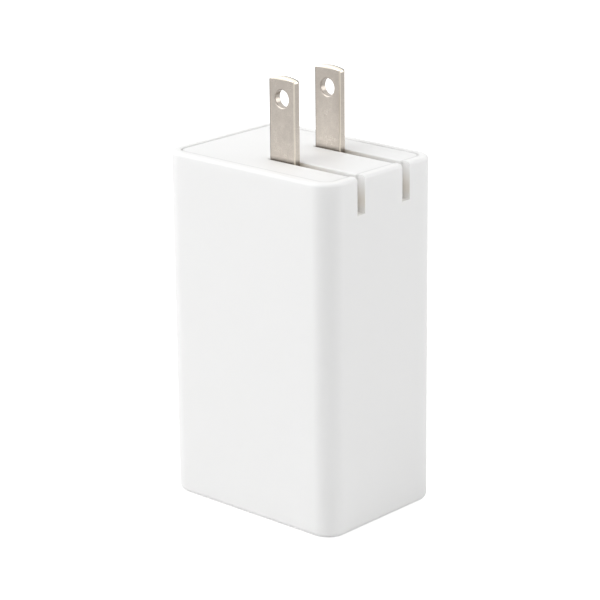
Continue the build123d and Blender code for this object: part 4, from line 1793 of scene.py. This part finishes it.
@dataclass
class Studio:
    """Camera, soft lights, and a white floor that keeps the object's shadow.

    Attributes:
        azimuth: Where the camera stands round the object, in degrees from -Y towards +X.
        elevation: How high it stands, in degrees.
        roll: How far it is turned about its line of sight, in degrees.
        distance: From the point that it looks at.
        aim_height: Height of that point.
        shift_right: How far the camera is moved to its right.
        shift_up: How far it is moved up.
        lens: Length of the lens, in millimetres.
        sensor: Width of the sensor, in millimetres.
        clip: Nearest distance that it sees.
        ambient: Brightness of the surround as a light.
        floor_reach: Half the floor's size.
        floor_drop: How far the floor lies below the object.
        paper: How much light the floor throws back.
        glow: How bright the floor is by itself to the camera.
        lamp_reach: Distance of the lights.
        lamps: The lights.
    """

    azimuth: float = 42.383
    elevation: float = 17.783
    roll: float = -0.613
    distance: float = 481.532 * MM
    aim_height: float = 36.0 * MM
    shift_right: float = -0.177 * MM
    shift_up: float = 3.423 * MM
    lens: float = 149.83
    sensor: float = 36.0
    clip: float = 0.01
    ambient: float = 0.44
    floor_reach: float = 1.5
    floor_drop: float = 0.02 * MM
    paper: float = 0.88
    glow: float = 0.55
    lamp_reach: float = 0.9
    lamps: tuple[Lamp, ...] = (
        Lamp("wide_side_light", (-0.72, -0.72, 0.70), 4.9, 1.0),
        Lamp("narrow_side_light", (0.85, 0.62, 0.22), 2.35, 0.7),
        Lamp("top_light", (-0.05, 0.05, 1.0), 3.1, 1.0),
    )

    def camera(self) -> None:
        """Place the camera on its line of sight, and turn it a little about that line."""
        azimuth, elevation, roll = map(math.radians, (self.azimuth, self.elevation, self.roll))
        back = Vector((
            math.sin(azimuth) * math.cos(elevation),
            -math.cos(azimuth) * math.cos(elevation),
            math.sin(elevation),
        ))
        level = Vector((math.cos(azimuth), math.sin(azimuth), 0.0))
        rise = back.cross(level)
        right = math.cos(roll) * level + math.sin(roll) * rise
        up = math.cos(roll) * rise - math.sin(roll) * level
        data = bpy.data.cameras.new("camera")
        data.lens = self.lens
        data.sensor_width = self.sensor
        data.clip_start = self.clip
        camera = bpy.data.objects.new("camera", data)
        bpy.context.scene.collection.objects.link(camera)
        spot = back * self.distance + right * self.shift_right + up * self.shift_up
        spot += Vector((0, 0, self.aim_height))
        turn = Matrix((right, up, back)).transposed().to_4x4()
        camera.matrix_world = Matrix.Translation(spot) @ turn
        bpy.context.scene.camera = camera

    def light(self, lamp: Lamp) -> None:
        """Set up one light.

        Args:
            lamp: What the light is.
        """
        data = bpy.data.lights.new(lamp.name, "AREA")
        data.shape = "SQUARE"
        data.size = lamp.size
        data.energy = lamp.power
        light = bpy.data.objects.new(lamp.name, data)
        bpy.context.scene.collection.objects.link(light)
        towards = Vector(lamp.direction).normalized()
        light.location = towards * self.lamp_reach + Vector((0, 0, self.aim_height))
        light.rotation_euler = towards.to_track_quat("Z", "Y").to_euler()

    def world(self) -> None:
        """An even pale surround that is pure white to the camera, to metal and through glass."""
        world = bpy.data.worlds.new("surround")
        world.use_nodes = True
        bpy.context.scene.world = world
        nodes = Nodes(world.node_tree)
        strength = self.ambient + nodes.seen() * (1.0 - self.ambient)
        inputs = {"Color": WHITE, "Strength": strength}
        background = nodes.node("ShaderNodeBackground", {}, inputs)
        nodes.node("ShaderNodeOutputWorld", {}, {"Surface": background})

    def floor(self) -> None:
        """A wide white floor, part lit and part self-lit to the camera."""
        reach, low = self.floor_reach, -self.floor_drop
        spread = box_loop((-reach, -reach), (reach, reach))
        mesh = bpy.data.meshes.new("floor")
        mesh.from_pydata([(x, y, low) for x, y in spread], [], [(0, 1, 2, 3)])
        floor = bpy.data.objects.new("floor", mesh)
        bpy.context.scene.collection.objects.link(floor)
        material = bpy.data.materials.new("floor_white")
        material.use_nodes = True
        nodes = Nodes(material.node_tree)
        paper = nodes.node("ShaderNodeBsdfDiffuse", {}, {"Color": (self.paper,) * 3})
        camera = nodes.node("ShaderNodeLightPath", output="Is Camera Ray")
        glow = nodes.node("ShaderNodeEmission", {}, {"Color": WHITE, "Strength": self.glow})
        dark = nodes.node("ShaderNodeEmission", {}, {"Color": BLACK, "Strength": 0.0})
        lift = nodes.node("ShaderNodeMixShader", {}, {0: camera, 1: dark, 2: glow})
        both = nodes.node("ShaderNodeAddShader", {}, {0: paper, 1: lift})
        nodes.node("ShaderNodeOutputMaterial", {}, {"Surface": both})
        mesh.materials.append(material)

    def build(self) -> None:
        """Set the camera, the lights, the surround and the floor."""
        bpy.context.scene.view_settings.view_transform = "Standard"
        self.camera()
        self.world()
        self.floor()
        for lamp in self.lamps:
            self.light(lamp)


# --------------------------------------------------------------------- main


def make_ports() -> list[Port]:
    """The three ports, from left to right along X.

    Returns:
        The ports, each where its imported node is.
    """
    oval = dict(
        slot="port_insulator", thickness=3.26 * MM, width=8.94 * MM, corner=1.60 * MM,
        metal=0.3 * MM, tongue=(4.6 * MM, 0.7 * MM, 6.6 * MM), tongue_side=0.0,
        contact_pitch=0.5 * MM, contact_count=12, contact_width=0.25 * MM,
        contact_faces=(-1, 1), spring_rise=0.16 * MM,
    )
    flat = dict(
        slot="port_insulator_light", thickness=5.72 * MM, width=13.14 * MM, corner=0.6 * MM,
        metal=0.35 * MM, tongue=(8.6 * MM, 1.84 * MM, 11.0 * MM), tongue_side=0.6 * MM,
        contact_pitch=2.4 * MM, contact_count=4, contact_width=1.1 * MM,
        contact_faces=(-1,), spring_rise=0.45 * MM,
    )
    ports = []
    for place_name, sizes in (("left", oval), ("middle", oval), ("right", flat)):
        low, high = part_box(f"port_shell_{place_name}")
        ports.append(Port(place=place_name, along_x=(low[0] + high[0]) / 2, **sizes))
    return ports


def dress_nodes(frame: dict[str, Any], body: Body, pieces: Sequence[bpy.types.Object]) -> None:
    """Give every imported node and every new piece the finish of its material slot.

    Args:
        body: The shared places.
        pieces: The new pieces.
    """
    by_slot = finishes(body)
    for part in frame["record"]["subparts"]:
        by_slot[part["material_slot"]].dress(frame["nodes"][part["node"]])
    for piece in pieces:
        by_slot[piece["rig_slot"]].dress(piece)


def main() -> None:
    """Build every sub-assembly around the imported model."""
    logging.basicConfig(level=logging.INFO, format="%(name)s: %(message)s")
    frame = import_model()
    body = Body.read(frame)
    Studio().build()
    ports = make_ports()
    pieces = [Housing(body, ports).build(), Cap(body).build()]
    pieces += Prongs(body).build()
    for port in ports:
        pieces += port.build()
    dress_nodes(frame, body, pieces)


if __name__ == "__main__":
    main()
